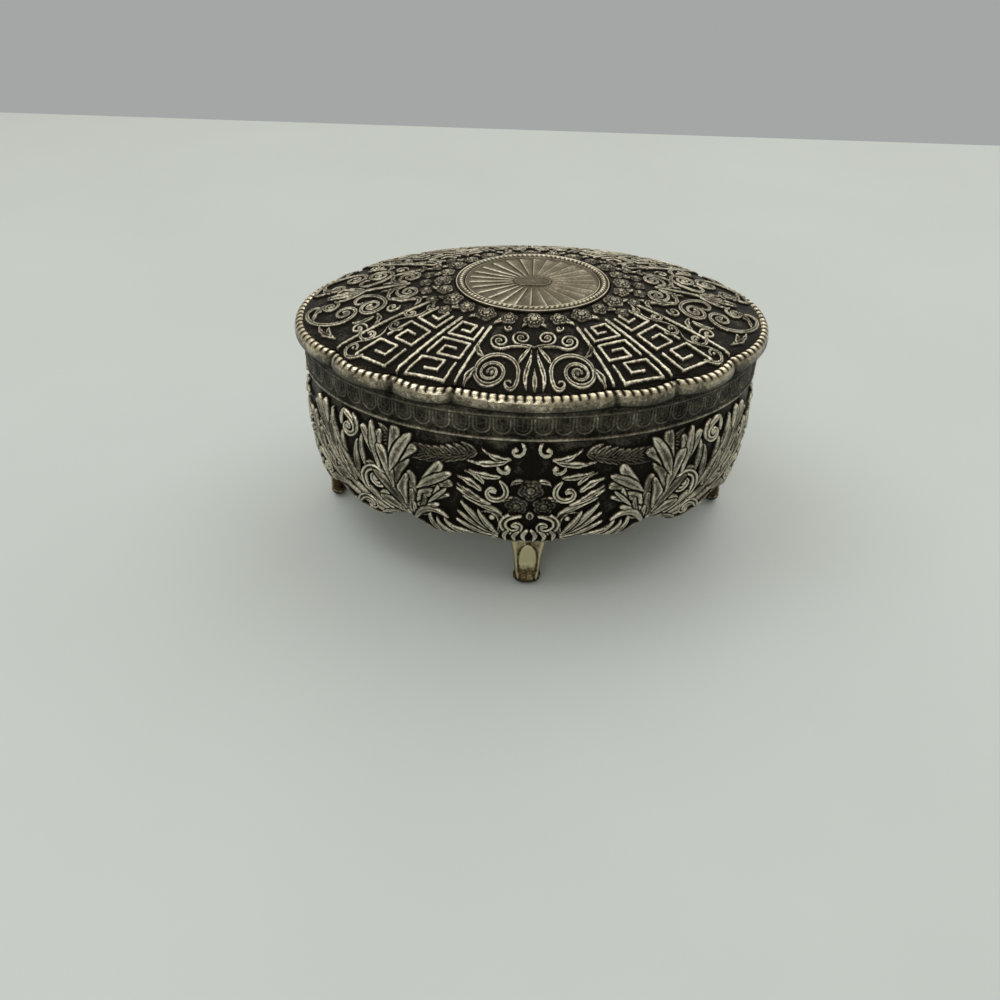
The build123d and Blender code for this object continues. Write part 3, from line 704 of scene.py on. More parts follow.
def draw_wall(relief, size):
    """All the raised work on one quarter of the lower wall."""
    # Faint, broad swag of fine leaves under the bead
    for number in range(13):
        t = (number + 0.5) / 13
        x, z = 14.0 + 27.0 * t, 49.6 - 13.0 * t * (1 - t)
        for rise, lean in ((2.2, 4.2), (0.2, 5.0), (-1.6, 4.4)):
            relief.leaf(((x, z), (x + 2.2, z + rise), (x + lean, z + rise * 1.3)), 0.9, size * 0.4)
    # Leaves towards the side foot
    relief.leaves((
        ((55.0, 20.4), (64.0, 20.4), (72.4, 24.4), 1.3),
        ((60.0, 19.4), (64.0, 18.6), (69.0, 21.2), 1.0),
    ), size * 0.92, **BLADE)
    relief.acanthus(((58.0, 25.0), (67.0, 29.0), (73.0, 36.0), (76.0, 44.4)), 4.4, size, 4)
    relief.acanthus(((54.0, 28.0), (61.0, 34.0), (65.4, 43.0), (69.4, 51.4)), 4.8, size, 4)
    relief.scroll((55.0, 47.6), 200, ((0.8, -150), (1.6, -150), (2.6, -120), (7.0, -40)), 0.9, size, 1.1)
    relief.scroll((69.4, 26.0), 120, ((0.9, -150), (1.9, -120), (2.8, -90), (7.0, -50)), 1.0, size, 1.1)
    relief.leaves((
        ((51.0, 31.0), (54.2, 37.0), (51.4, 44.8), 1.35),
        ((55.0, 33.4), (59.0, 38.6), (57.4, 45.0), 1.3),
        ((48.6, 36.0), (51.6, 41.0), (49.4, 47.6), 1.1),
        ((59.0, 42.0), (62.6, 45.0), (61.8, 50.6), 1.0),
        ((52.0, 46.0), (50.6, 49.6), (53.2, 52.2), 0.8),
        ((57.6, 47.0), (58.6, 50.0), (56.6, 52.4), 0.8),
    ), size * 0.85, **BLADE)
    # Long stems that sweep up behind the curl
    relief.leaves((
        ((40.0, 21.0), (54.0, 21.6), (66.0, 28.0), (73.4, 38.4), 1.15),
        ((38.0, 22.0), (51.0, 23.4), (62.0, 31.0), (68.4, 44.0), 1.2),
        ((37.0, 23.0), (48.0, 25.6), (57.4, 34.4), (62.4, 47.6), 1.25),
    ), size, veins=0, blunt=0.7, shape="lobe")
    # Large leaves between the front and the side, with the curl behind them
    relief.acanthus(((37.0, 28.0), (42.4, 32.0), (47.0, 41.0), (46.4, 52.4)), 4.6, size * 0.94, 3)
    relief.scroll((45.8, 33.4), 180, ((1.1, -180), (2.0, -150), (3.1, -150), (5.4, -110)), 1.2, size, 1.3)
    relief.acanthus(((34.6, 24.0), (34.6, 32.0), (32.0, 39.0), (21.8, 41.8)), 5.4, size, 3)
    relief.acanthus(((34.8, 24.0), (41.6, 32.0), (43.4, 44.0), (33.6, 51.8)), 6.0, size, 4)
    relief.acanthus(((33.6, 24.0), (30.0, 28.6), (28.0, 32.0), (23.4, 36.4)), 3.0, size, 3)
    # Rolled leaves that form the lobes of the apron
    relief.leaves((
        ((14.0, 19.6), (22.0, 17.2), (30.4, 19.6), (28.6, 27.0), 1.5),
        ((33.6, 22.0), (32.0, 27.6), (28.0, 29.6), (23.0, 25.6), 1.5),
        ((17.6, 20.4), (20.0, 20.2), (23.6, 21.6), (24.6, 25.6), 1.1),
        ((21.0, 19.8), (24.0, 19.6), (26.6, 21.4), (26.8, 25.0), 1.0),
    ), size, veins=0, blunt=0.8, shape="lobe")
    relief.scroll((48.8, 21.8), 60, ((0.8, -150), (1.7, -130), (2.7, -80), (8.0, -40)), 1.05, size, 1.1)
    relief.leaf(((36.0, 22.4), (41.0, 23.4), (45.4, 20.2)), 1.4, size, veins=0, shape="lobe")
    draw_foot_group(relief, lambda s, z: (s, z), size)
    draw_foot_group(relief, lambda s, z: (QUARTER - s * SIDE_SHARE, z), size)


# The lower edge of the apron: angle from the front, height
APRON_EDGE = (
    (0, 18.2), (5, 18.3), (8, 19.6), (12.5, 20.9), (17, 20.3), (21, 19.3), (25, 19.6), (28, 22.4), (31, 24.0),
    (34.5, 22.8), (38, 19.8), (43, 18.5), (48, 19.8), (52.5, 21.2), (57.5, 23.4), (62.5, 21.4), (67, 19.2),
    (72, 19.2), (77.5, 20.6), (82, 19.4), (85, 18.3), (90, 18.2),
)


def apron_edge(angle):
    """Height of the apron's lower edge at each angle of one quarter, on a smooth curve."""
    known = np.array(APRON_EDGE, float)
    degrees = np.degrees(angle)
    result = np.zeros(np.shape(angle))
    for shift in np.linspace(-1.2, 1.2, 7):
        result = result + np.interp(degrees + shift, known[:, 0], known[:, 1]) / 7
    return result


# Materials

def fill(tree, socket, value):
    """Links a socket to another, or sets its value."""
    if isinstance(value, bpy.types.NodeSocket):
        tree.links.new(value, socket)
    elif socket.type == "RGBA" and len(value) == 3:
        socket.default_value = (*value, 1)
    else:
        socket.default_value = value


def fill_inputs(tree, node, **inputs):
    """Fills some inputs of a node, by their names with a low line for each space."""
    for key, value in inputs.items():
        fill(tree, node.inputs[key.replace("_", " ")], value)
    return node


def add_node(tree, kind, **inputs):
    """A new node with some of its inputs filled."""
    return fill_inputs(tree, tree.nodes.new(kind), **inputs)


def noise(tree, place, scale, detail, roughness):
    """Fractal noise about 0.5."""
    inputs = {"Vector": place, "Scale": scale, "Detail": detail, "Roughness": roughness}
    return add_node(tree, "ShaderNodeTexNoise", **inputs).outputs["Fac"]


def maths(tree, operation, first, second, clamp=False):
    """The result of one operation on two numbers or sockets."""
    node = tree.nodes.new("ShaderNodeMath")
    node.operation = operation
    node.use_clamp = clamp
    fill(tree, node.inputs[0], first)
    fill(tree, node.inputs[1], second)
    return node.outputs[0]


def mix_colours(tree, share, first, second):
    """A colour between two, where the share of the second is 0 to 1."""
    node = tree.nodes.new("ShaderNodeMix")
    node.data_type = "RGBA"
    # Of its sockets by type, the first is the share, and the seventh and eighth are the colours
    for number, value in ((0, share), (6, first), (7, second)):
        fill(tree, node.inputs[number], value)
    return node.outputs[2]


def attribute(tree, name):
    """A value that each point of the mesh holds."""
    node = tree.nodes.new("ShaderNodeAttribute")
    node.attribute_name = name
    return node.outputs["Fac"]


def ramp(tree, value, *stops):
    """A colour ramp with stops of (place, colour)."""
    node = add_node(tree, "ShaderNodeValToRGB", Fac=value)
    elements = node.color_ramp.elements
    while len(elements) < len(stops):
        elements.new(0.5)
    for element, (place, colour) in zip(elements, stops):
        element.position = place
        element.color = (*colour, 1)
    return node.outputs["Color"]


def scaled(colour, factor):
    """A colour made brighter or darker, no brighter than 1."""
    return tuple(min(1, c * factor) for c in colour)


def fresh_material(name):
    """A new material, its nodes, its shader, and the place on the object that textures read."""
    material = bpy.data.materials.new(name)
    material.use_nodes = True
    tree = material.node_tree
    place = tree.nodes.new("ShaderNodeTexCoord").outputs["Object"]
    return material, tree, tree.nodes["Principled BSDF"], place


def bumped(tree, height, strength, distance):
    """The surface's direction under a fine relief."""
    node = add_node(tree, "ShaderNodeBump", Height=height, Strength=strength, Distance=distance)
    return node.outputs["Normal"]


def tarnish_group():
    """The shared effect of tarnish that stays in the recesses while the high places wear bright, and of the
    painted highlights and painted shade that some pieces' values carry.
    """
    group = bpy.data.node_groups.get("Tarnish")
    if group:
        return group
    group = bpy.data.node_groups.new("Tarnish", "ShaderNodeTree")
    for name, kind, default in (
        ("Vector", "Vector", None), ("Height", "Float", 0.5), ("Recess", "Float", 0.0),
        ("Wear", "Float", 0.0), ("Mottle", "Float", 1.0), ("Bright", "Color", (0.6, 0.57, 0.5, 1)),
        ("Middle", "Color", (0.2, 0.18, 0.14, 1)), ("Dark", "Color", (0.03, 0.026, 0.02, 1)),
    ):
        socket = group.interface.new_socket(name, in_out="INPUT", socket_type="NodeSocket" + kind)
        if default is not None:
            socket.default_value = default
    for name, kind in (("Color", "Color"), ("Roughness", "Float"), ("Shine", "Float")):
        group.interface.new_socket(name, in_out="OUTPUT", socket_type="NodeSocket" + kind)
    given = group.nodes.new("NodeGroupInput").outputs
    clouds = maths(group, "SUBTRACT", noise(group, given["Vector"], 170.0, 4.0, 0.6), 0.5)
    specks = maths(group, "SUBTRACT", noise(group, given["Vector"], 1300.0, 3.0, 0.7), 0.5)
    clouds, specks = maths(group, "MULTIPLY", clouds, 0.9), maths(group, "MULTIPLY", specks, 0.85)
    mottle = maths(group, "MULTIPLY", maths(group, "ADD", clouds, specks), given["Mottle"])
    value = maths(group, "MULTIPLY", given["Height"], 0.95)
    value = maths(group, "SUBTRACT", value, given["Recess"])
    value = maths(group, "ADD", value, given["Wear"])
    value = maths(group, "ADD", value, mottle, clamp=True)
    share = maths(group, "MULTIPLY", value, 1.9, clamp=True)
    low = mix_colours(group, share, given["Dark"], given["Middle"])
    share = maths(group, "MULTIPLY", maths(group, "SUBTRACT", value, 0.48), 2.2, clamp=True)
    add_node(
        group, "NodeGroupOutput",
        Color=mix_colours(group, share, low, given["Bright"]),
        Roughness=maths(group, "SUBTRACT", 0.55, maths(group, "MULTIPLY", value, 0.27)),
        Shine=maths(group, "ADD", maths(group, "MULTIPLY", value, 0.1), 0.92, clamp=True),
    )
    return group


def tarnished(name, bright, middle, dark, wear=0.0, stipple=0.0, bump=0.12, rough=0.0, mottle=1.0):
    """Plated metal with tarnish in its recesses, read from the piece's relief and recess attributes, which on
    some pieces also carry painted highlights and painted shade.
    """
    material, tree, shader, place = fresh_material(name)
    effect = tree.nodes.new("ShaderNodeGroup")
    effect.node_tree = tarnish_group()
    fill_inputs(
        tree, effect, Vector=place, Height=attribute(tree, "relief"), Recess=attribute(tree, "recess"),
        Wear=wear, Mottle=mottle, Bright=bright, Middle=middle, Dark=dark,
    )
    surface = noise(tree, place, 900.0, 4.0, 0.65)
    if stipple:
        dots = add_node(tree, "ShaderNodeTexVoronoi", Vector=place, Scale=1500.0).outputs["Distance"]
        surface = maths(tree, "ADD", surface, maths(tree, "MULTIPLY", dots, stipple))
    fill_inputs(
        tree, shader, Base_Color=effect.outputs["Color"], Metallic=effect.outputs["Shine"],
        Roughness=maths(tree, "ADD", effect.outputs["Roughness"], rough),
        Normal=bumped(tree, surface, bump, 0.0004),
    )
    return material


def velvet_material(name, colour):
    """Short-pile velvet: a deep colour with a soft sheen, and a nap that lies in patches."""
    material, tree, shader, place = fresh_material(name)
    nap = noise(tree, place, 120.0, 3.0, 0.5)
    pile = noise(tree, place, 2600.0, 2.0, 0.6)
    value = maths(tree, "ADD", maths(tree, "MULTIPLY", nap, 0.7), maths(tree, "MULTIPLY", pile, 0.4))
    lit = scaled(colour, 1.5)
    fill_inputs(
        tree, shader, Base_Color=ramp(tree, value, (0.3, scaled(colour, 0.45)), (0.55, colour), (0.85, lit)),
        Roughness=0.9, Sheen_Weight=0.6, Sheen_Roughness=0.4, Sheen_Tint=lit,
        Normal=bumped(tree, pile, 0.35, 0.0004),
    )
    return material


def card_material(name):
    """Grey lining card with a faint fibre."""
    material, tree, shader, place = fresh_material(name)
    fibre = noise(tree, place, 700.0, 5.0, 0.7)
    fill_inputs(
        tree, shader, Base_Color=ramp(tree, fibre, (0.35, (0.24, 0.2, 0.15)), (0.65, (0.36, 0.31, 0.24))),
        Roughness=0.85, Normal=bumped(tree, fibre, 0.2, 0.0003),
    )
    return material


def plain_metal(name, colour, roughness):
    """Bare worked metal, with fine scratches and a little dirt."""
    material, tree, shader, place = fresh_material(name)
    stretched = add_node(tree, "ShaderNodeMapping", Vector=place, Scale=(1.0, 9.0, 9.0)).outputs["Vector"]
    scratches = noise(tree, stretched, 500.0, 4.0, 0.6)
    dirt = noise(tree, place, 140.0, 4.0, 0.65)
    fill_inputs(
        tree, shader, Base_Color=ramp(tree, dirt, (0.3, scaled(colour, 0.45)), (0.62, colour)), Metallic=1.0,
        Roughness=maths(tree, "ADD", maths(tree, "MULTIPLY", scratches, 0.3), roughness - 0.15),
        Normal=bumped(tree, scratches, 0.08, 0.0002),
    )
    return material


def table_material(name, colour):
    """A matt tabletop, a little cloudy."""
    material, tree, shader, place = fresh_material(name)
    cloud = noise(tree, place, 9.0, 3.0, 0.5)
    shade = ramp(tree, cloud, (0.3, scaled(colour, 0.96)), (0.7, colour))
    fill_inputs(tree, shader, Base_Color=shade, Roughness=0.55)
    return material


def material_of(finish):
    """The box's material of that finish, made once."""
    name = "aged_" + finish
    known = bpy.data.materials.get(name)
    if known:
        return known
    look = values()
    silver, metals = tuple(look.silver), (tuple(look.aged), tuple(look.tarnish))
    if finish == "cast_silver":
        return tarnished(name, silver, *metals, wear=0.03, stipple=0.7, bump=0.5)
    if finish == "rim_silver":
        return tarnished(name, tuple(look.rim), *metals, bump=0.3, rough=-0.1)
    if finish == "satin_silver":
        return tarnished(name, silver, tuple(look.satin), metals[1], bump=0.3, rough=0.06, mottle=0.55)
    if finish == "worn_silver":
        return tarnished(name, tuple(look.worn), (0.12, 0.08, 0.038), metals[1], wear=0.08)
    if finish == "velvet":
        return velvet_material(name, tuple(look.velvet))
    if finish == "card":
        return card_material(name)
    if finish == "plain_silver":
        return plain_metal(name, scaled(silver, 0.8), 0.42)
    if finish == "steel":
        return plain_metal(name, (0.36, 0.35, 0.33), 0.34)
    raise ValueError("no such finish: " + finish)


# Values that a user may change

def count_value(name, description, default, low, high):
    """A number of like things."""
    return IntProperty(name=name, description=description, default=default, min=low, max=high)


def colour_value(name, description, default):
    """A colour of a material."""
    return FloatVectorProperty(
        name=name, description="Colour of " + description, default=default, min=0, max=1, subtype="COLOR",
    )


class TrinketBoxValues(bpy.types.PropertyGroup):
    relief: FloatProperty(
        name="Relief height", description="How far the raised work stands out from its ground",
        default=0.9 * MM, min=0.0003, max=0.0015, subtype="DISTANCE", unit="LENGTH",
    )
    rose_count: count_value("Roses", "Number of roses round the medallion", 24, 8, 40)
    gadroon_count: count_value("Border cuts", "Number of cuts across the rolled border", 158, 60, 300)
    tongue_count: count_value("Tongues", "Number of tongues round the band under the lid", 67, 30, 90)
    ray_count: count_value("Rays", "Number of rays on the medallion", 26, 12, 48)
    silver: colour_value("Silver", "the worn high places", (0.79, 0.735, 0.585))
    aged: colour_value("Aged silver", "the metal between the high places and the ground", (0.15, 0.134, 0.10))
    tarnish: colour_value("Tarnish", "the tarnish in the ground and the recesses", (0.010, 0.0085, 0.006))
    rim: colour_value("Rim silver", "the worn border", (0.84, 0.75, 0.55))
    satin: colour_value("Satin silver", "the medallion", (0.19, 0.166, 0.115))
    worn: colour_value("Worn feet", "the worn metal of the feet", (0.66, 0.60, 0.37))
    velvet: colour_value("Velvet", "the velvet linings", (0.19, 0.008, 0.016))
    table: colour_value("Table", "the table under the box", (0.545, 0.59, 0.585))
    backdrop: colour_value("Backdrop", "the room behind the table", (0.37, 0.386, 0.378))


def values():
    """The values that the user has set."""
    return bpy.context.scene.trinket_box


class TrinketBoxDome(bpy.types.Operator):
    """Make the domed lid with its ribs, keys, scrolls and roses, in four quarters"""

    bl_idname = "trinket_box.dome"
    bl_label = "Lid dome"

    def execute(self, context):
        look = values()
        size = look.relief / MM
        angle = np.linspace(0, math.pi / 2, DOME_COLUMNS)
        outline = lid_outline(angle)
        edge = outline * (1 - BORDER_WIDTH / lengths(outline))
        middle = oval(angle, DISC_RX + 0.3, DISC_RY + 0.3)
        share = np.linspace(0, 1, DOME_ROWS) ** 1.06
        plan = middle[None] + (edge - middle)[None] * share[:, None, None]
        x, y = plan[..., 0], plan[..., 1]
        relief = Relief(x, y)
        draw_lid(relief, size)
        # A ring of roses and leaves round the medallion, and a few roses beyond it
        for number in range(look.rose_count):
            turn = TURN * number / look.rose_count
            centre = oval(turn, DISC_RX + 3.5, DISC_RY + 3.3)
            outside = oval(turn + 0.11, DISC_RX + 7.6, DISC_RY + 6.6)
            relief.leaf((centre, (centre + outside) / 2 + 0.4, outside), 0.8, 0.9)
            relief.rose(centre, 3.1 if number % 2 == 0 else 2.5, 1.2, turn * 3)
        for degrees in (52, 66, 79, 90):
            relief.rose(oval(math.radians(degrees), DISC_RX + 8.6, DISC_RY + 7.6), 2.1, 1.0, degrees)
        from_edge = (1 - share)[:, None] * lengths(edge - middle)[None, :, 0]
        ground = dome_height(x, y) - 0.12 - 0.45 * bell(from_edge, 0.8)
        z = np.minimum(ground + relief.height, TOP_Z - 0.35)
        outer = np.stack([x, y, z], -1)
        depth = np.linspace(0, 1, 8)[:, None]
        inner_plan = middle[None] + (edge - middle)[None] * depth[..., None]
        inner_z = dome_height(inner_plan[..., 0], inner_plan[..., 1]) - DOME_THICK
        inner = np.concatenate([inner_plan, inner_z[..., None]], -1)
        piece = quarter_shells("lid_dome_", "lid", outer, inner, relief.shown(size * 1.5))
        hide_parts("lid_shell")
        return {"FINISHED"}


# The border's section: how far in from the edge, and the height, from the underside over the roll to the dome
BORDER_SECTION = (
    (0.8, 63.5), (0.25, 63.75), (0.0, 64.3), (0.0, 65.2), (0.1, 65.9), (0.3, 66.6), (0.65, 67.25),
    (1.15, 67.75), (1.7, 68.05), (2.25, 68.05), (2.7, 67.75), (2.95, 67.2), (3.0, 66.5),
)
BORDER_ROWS = 49
CUT_COLUMNS = 10


class TrinketBoxBorder(bpy.types.Operator):
    """Make the rolled and cut border of the lid, with its scallops and the slot for the hinge"""

    bl_idname = "trinket_box.border"
    bl_label = "Lid border"

    def execute(self, context):
        look = values()
        columns = look.gadroon_count * CUT_COLUMNS
        angle = full_turn(columns)
        outline = lid_outline(angle)
        distance = lengths(outline)
        # Length along the edge, so that the cuts are evenly spaced
        run = lengths(np.diff(np.vstack([outline, outline[:1]]), axis=0))[:, 0]
        run = np.concatenate([[0], np.cumsum(run)])
        share = run[:-1] / run[-1] * look.gadroon_count
        # The roll is pinched where two lobes meet
        half = [*LOBE_ANGLES, *(180 - a for a in LOBE_ANGLES)]
        pinch = sum(
            bell((angle - math.radians(at) + math.pi) % TURN - math.pi, 0.012)
            for at in (*half, *(360 - a for a in half))
        )
        section = np.array(BORDER_SECTION)
        fine = np.linspace(0, len(section) - 1, BORDER_ROWS)
        inset, height = (np.interp(fine, range(len(section)), section[:, axis]) for axis in (0, 1))
        rings = Rings()
        for d, z in zip(inset, height):
            cut = np.abs(np.sin(np.pi * (share + 0.05 * d))) ** 0.24
            strength = ease(z - 66.7, 0.8) * ease(2.95 - d, 0.5)
            deep = 0.5 * strength * (1 - cut)
            inward = d + deep * (1 - ease(d, 1.6)) + 0.3 * pinch * (1 - ease(d, 3))
            down = z - deep * ease(d, 1.2) - 0.3 * pinch * ease(d, 2)
            # The roll wears bright along its top, and is painted darker towards its lower side: painted shade
            crest_wear_and_light = np.clip(0.27 + 0.5 * (z - 64.5) / 2.9 - 0.1 * strength * np.cos(TURN * share), 0, 0.98)
            # Tarnish darkens the cuts, the pinches and the inner flank, and the rows under the roll carry a
            # painted shadow of the seam between lid and body
            gap_tarnish_and_seam_shadow = 2.0 * strength * (1 - cut) + 0.35 * pinch - 0.1 + 1.2 * max(0, d - 2.7) + 0.8 * (z < 64.3)
            rings.add(
                outline * (1 - inward[:, None] / distance), down,
                crest_wear_and_light * (1 - 0.9 * strength * (1 - cut)), np.clip(gap_tarnish_and_seam_shadow, -0.2, 0.9),
            )
        inner_wall = oval(angle, *LID_INNER)
        for z in (67.0, 65.4, LID_BASE + 0.25):
            rings.add(inner_wall, z, recess=0.2)
        rings.add(inner_wall * 1.004, LID_BASE, recess=0.1)
        underside = rings.points[0][:, :2]
        for part in (0.2, 0.4, 0.6, 0.8):
            rings.add(inner_wall * (1 - part) + underside * part, LID_BASE)
        # The slot for the hinge is cut up into the underside
        slot_y = HINGE_Y - 1.5 - 0.35
        slot_top = LID_BASE + SLOT_RISE
        for row in rings.points:
            in_slot = (np.abs(row[:, 0]) < SLOT_HALF) & (row[:, 1] > slot_y) & (row[:, 2] < slot_top)
            row[in_slot, 2] = slot_top
        piece = ring_shell("lid_border", rings.points, rings.values())
        finish_piece(piece, "lid", "rim_silver")
        return {"FINISHED"}


class TrinketBoxMedallion(bpy.types.Operator):
    """Make the satin medallion with its rays, blank cartouche and rope edge"""

    bl_idname = "trinket_box.medallion"
    bl_label = "Medallion"

    def execute(self, context):
        look = values()
        angle = full_turn(DISC_COLUMNS)
        share = np.concatenate([np.linspace(0.02, 0.84, 66), np.linspace(0.85, 1.0, 34)])
        plan = oval(angle, DISC_RX, DISC_RY)
        x, y = (share[:, None] * plan[None, :, axis] for axis in (0, 1))
        level = np.broadcast_to(share[:, None], x.shape)
        turn = angle[None] * look.ray_count / TURN
        tilt = (turn + 0.06 * np.sin(turn)) % 1.0
        inside = ease(0.84 - level, 0.04) * ease(level - 0.18, 0.1)
        rays = 0.42 * np.where(tilt < 0.82, tilt / 0.82, (1 - tilt) / 0.18) * inside
        # The cartouche in the middle
        shield = np.hypot(np.maximum(np.abs(x) - 2.6, 0), y) / 2.7
        plate = ease(1.0 - shield, 0.12)
        rim = bell(shield - 0.9, 0.07) * 0.3
        rise = DISC_FACE + rays * (1 - plate) + 0.2 * plate**0.5 + rim * 0.6
        # The rope edge: a laurel of small beads between two fine lines
        rope = bell(level - 0.925, 0.034)
        bead = np.abs(np.sin(angle[None] * 44 + 26 * np.abs(level - 0.925))) ** 0.7
        rise = rise + np.where(level > 0.86, rope * (0.25 + 0.6 * bead), 0)
        lines = bell(level - 0.862, 0.009) + bell(level - 0.985, 0.01)
        rise = np.minimum(rise + 0.45 * lines, TOP_Z)
        rise = np.where(level > 0.999, DISC_FACE - 0.2, rise)
        rim_value = np.clip(rope * bead + lines, 0, 1)
        # The crest of each ray wears bright and also carries a painted highlight
        ray_edge_wear_and_highlight = bell(tilt - 0.84, 0.06) * inside * (1 - plate)
        relief = 0.34 + 0.16 * rays / 0.42 * (1 - plate) + 0.8 * rim + 0.28 * ray_edge_wear_and_highlight
        relief = np.where(level > 0.86, 0.2 + 0.7 * rim_value, relief)
        # The lower half of each ray's steep side is darker: tarnish towards its foot, and painted shade on
        # that side
        between = 0.25 * (tilt > 0.9) * inside * (1 - plate)
        recess = np.where(level > 0.86, 0.35 * (1 - rim_value), between) - 0.05
        recess = recess + 0.4 * bell(shield - 1.06, 0.07) + 0.25 * bell(shield - 0.77, 0.05)
        # The underside, then the middle of the face and of the underside, each joined to its ring by a fan
        foot = disc_low.z + DISC_SUNK
        face = np.stack([x, y, rise], -1).reshape(-1, 3)
        points = np.concatenate([face, row_at(plan, foot), [(0, 0, DISC_FACE + 0.62), (0, 0, foot)]])
        faces = grid_faces(len(share) + 1, DISC_COLUMNS, wrap=True).tolist()
        for middle, first in ((len(points) - 2, 0), (len(points) - 1, len(share) * DISC_COLUMNS)):
            faces += [[middle, first + i, first + (i + 1) % DISC_COLUMNS] for i in range(DISC_COLUMNS)]
        plain = np.full(DISC_COLUMNS + 2, 0.6)
        piece = new_piece("medallion", points, faces, {
            "relief": np.concatenate([relief.ravel(), plain]),
            "recess": np.concatenate([recess.ravel(), plain * 0]),
        })
        finish_piece(piece, "lid", "satin_silver")
        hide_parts("lid_medallion")
        return {"FINISHED"}


class TrinketBoxWall(bpy.types.Operator):
    """Make the swelling wall with its chased leaves and its cut apron, in four quarters"""

    bl_idname = "trinket_box.wall"
    bl_label = "Wall"

    def execute(self, context):
        size = values().relief / MM * 1.6
        angle = np.linspace(0, math.pi / 2, WALL_COLUMNS)
        low = apron_edge(angle)
        share = np.linspace(0, 1, WALL_ROWS)[:, None]
        z = low[None] + (WALL_TOP - low)[None] * share
        along = np.broadcast_to(arc_length(angle), z.shape)
        relief = Relief(along, z)
        draw_wall(relief, size)
        # The relief dies out under the bead, and rolls over at the apron's edge
        relief.height *= ease(WALL_TOP - 0.4 - z, 0.8)
        relief.height = np.maximum(relief.height, bell(z - low[None], 0.55) * 0.7 * size)
        swell = wall_swell(z) - 0.5 + relief.height
        normal = rim_normal(angle)
        base = oval(angle, RIM_RX, RIM_RY)
        plan = base[None] + normal[None] * swell[..., None]
        plan[..., 0] = np.clip(plan[..., 0], 0, LID_RX - 0.02)
        plan[..., 1] = np.clip(plan[..., 1], lid_low.y + 0.02, 0)
        outer = np.concatenate([plan, z[..., None]], -1)
        inner = np.stack([
            row_at(base + normal * -thick, low + (WALL_TOP - low) * part)
            for part, thick in ((0.0, 1.6), (0.08, 2.0), (0.16, 2.4), (0.5, 3.2), (1.0, WALL))
        ])
        inner[..., 0] = np.maximum(inner[..., 0], 0)
        inner[..., 1] = np.minimum(inner[..., 1], 0)
        # The cove under the bead is painted lighter, a painted highlight as if lit from above, and the
        # shields over the feet stay dark
        shown = relief.shown(size)
        shown["relief"] = shown["relief"] * 1.04 + 0.1 * ease(z - 44, 5)
        shield = np.minimum(along, QUARTER - along) / 3.5 + np.abs(z - 46) / 4.8 < 1
        shown["recess"] = shown["recess"] + 0.4 * shield
        piece = quarter_shells("wall_", "box", outer, inner, shown)
        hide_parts("body_shell")
        return {"FINISHED"}


class TrinketBoxBand(bpy.types.Operator):
    """Make the band of tongues under the lid, with its bead and plain lip"""

    bl_idname = "trinket_box.band"
    bl_label = "Band"

    def execute(self, context):
        look = values()
        columns = look.tongue_count * TONGUE_COLUMNS
        steps = np.linspace(0, TURN, 4001)
        length = rim_length(steps)
        even = np.linspace(0, length[-1], columns, endpoint=False)
        angle = np.interp(even, length, steps)
        pitch = length[-1] / look.tongue_count
        heights = [*np.linspace(53.5, 55.3, 11), *np.linspace(55.5, 62.1, 34), 62.5, 63.0, RIM_Z]
        s, z = np.meshgrid(((even % pitch) / pitch - 0.5) * pitch, heights)
        # Distance from a U shape: two straight sides and a round foot
        half = pitch * 0.42
        above = z - TONGUE_FOOT
        from_foot = np.hypot(s, above)
        outside, inside = (
            np.abs(np.where(above > 0, np.abs(s), from_foot) - radius) for radius in (half, half * 0.6)
        )
        raised = 0.34 * bell(outside, 0.24) + 0.16 * bell(inside, 0.2)
        rays = np.cos(np.arctan2(s, above + 1.2) * 9) * (1 - ease(from_foot, half * 0.55))
        raised = raised + 0.16 * np.maximum(0, rays)
        raised = raised * ((z > 55.5) & (z < 61.0))
        relief = raised + 0.42 * dome_of((z - BEAD_Z) / 0.42) + 0.3 * bell(z - 61.5, 0.28)
        soft = np.clip(relief / 0.5, 0, 1)
        normal = rim_normal(angle)
        base = oval(angle, RIM_RX, RIM_RY)
        rings = Rings()
        for height, out, level in zip(heights, relief, soft):
            plan = base + normal * (out - 0.05)[:, None]
            rings.add(plan, height, 0.12 + 0.6 * level, 0.04 * (1 - level))
        for height, depth in ((RIM_Z, WALL * 0.9), (RIM_Z - 0.3, WALL), (60.5, WALL), (53.5, WALL)):
            rings.add(base - normal * depth, height, 0.55, 0.05)
        # The channel along the back for the hinge tubes
        for row in rings.points:
            from_axis = row[:, 1] - HINGE_Y
            floor = HINGE_Z - np.sqrt(np.clip(CHANNEL**2 - from_axis**2, 0, None))
            over = (np.abs(row[:, 0]) < CHANNEL_HALF) & (row[:, 1] > 0) & (np.abs(from_axis) < CHANNEL)
            cut = over & (row[:, 2] > floor)
            row[cut, 2] = floor[cut]
        piece = ring_shell("band", rings.points, rings.values())
        finish_piece(piece, "box", "cast_silver")
        return {"FINISHED"}


class TrinketBoxFeet(bpy.types.Operator):
    """Make the four scroll feet, each with an arched panel between two ridges and a curled toe"""

    bl_idname = "trinket_box.feet"
    bl_label = "Feet"

    def execute(self, context):
        rings, faces = foot_mesh()
        places = (("front", RIM_RY), ("right", RIM_RX), ("back", RIM_RY), ("left", RIM_RX))
        for number, (name, reach) in enumerate(places):
            turn = np.array(Matrix.Rotation(math.pi / 2 * number, 3, "Z"))
            points = (np.concatenate(rings.points) + np.array([0, -reach, 0])) @ turn.T
            piece = new_piece("foot_" + name + "_cast", points, faces, rings.values())
            finish_piece(piece, "box", "worn_silver")
            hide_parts("foot_" + name)
        return {"FINISHED"}


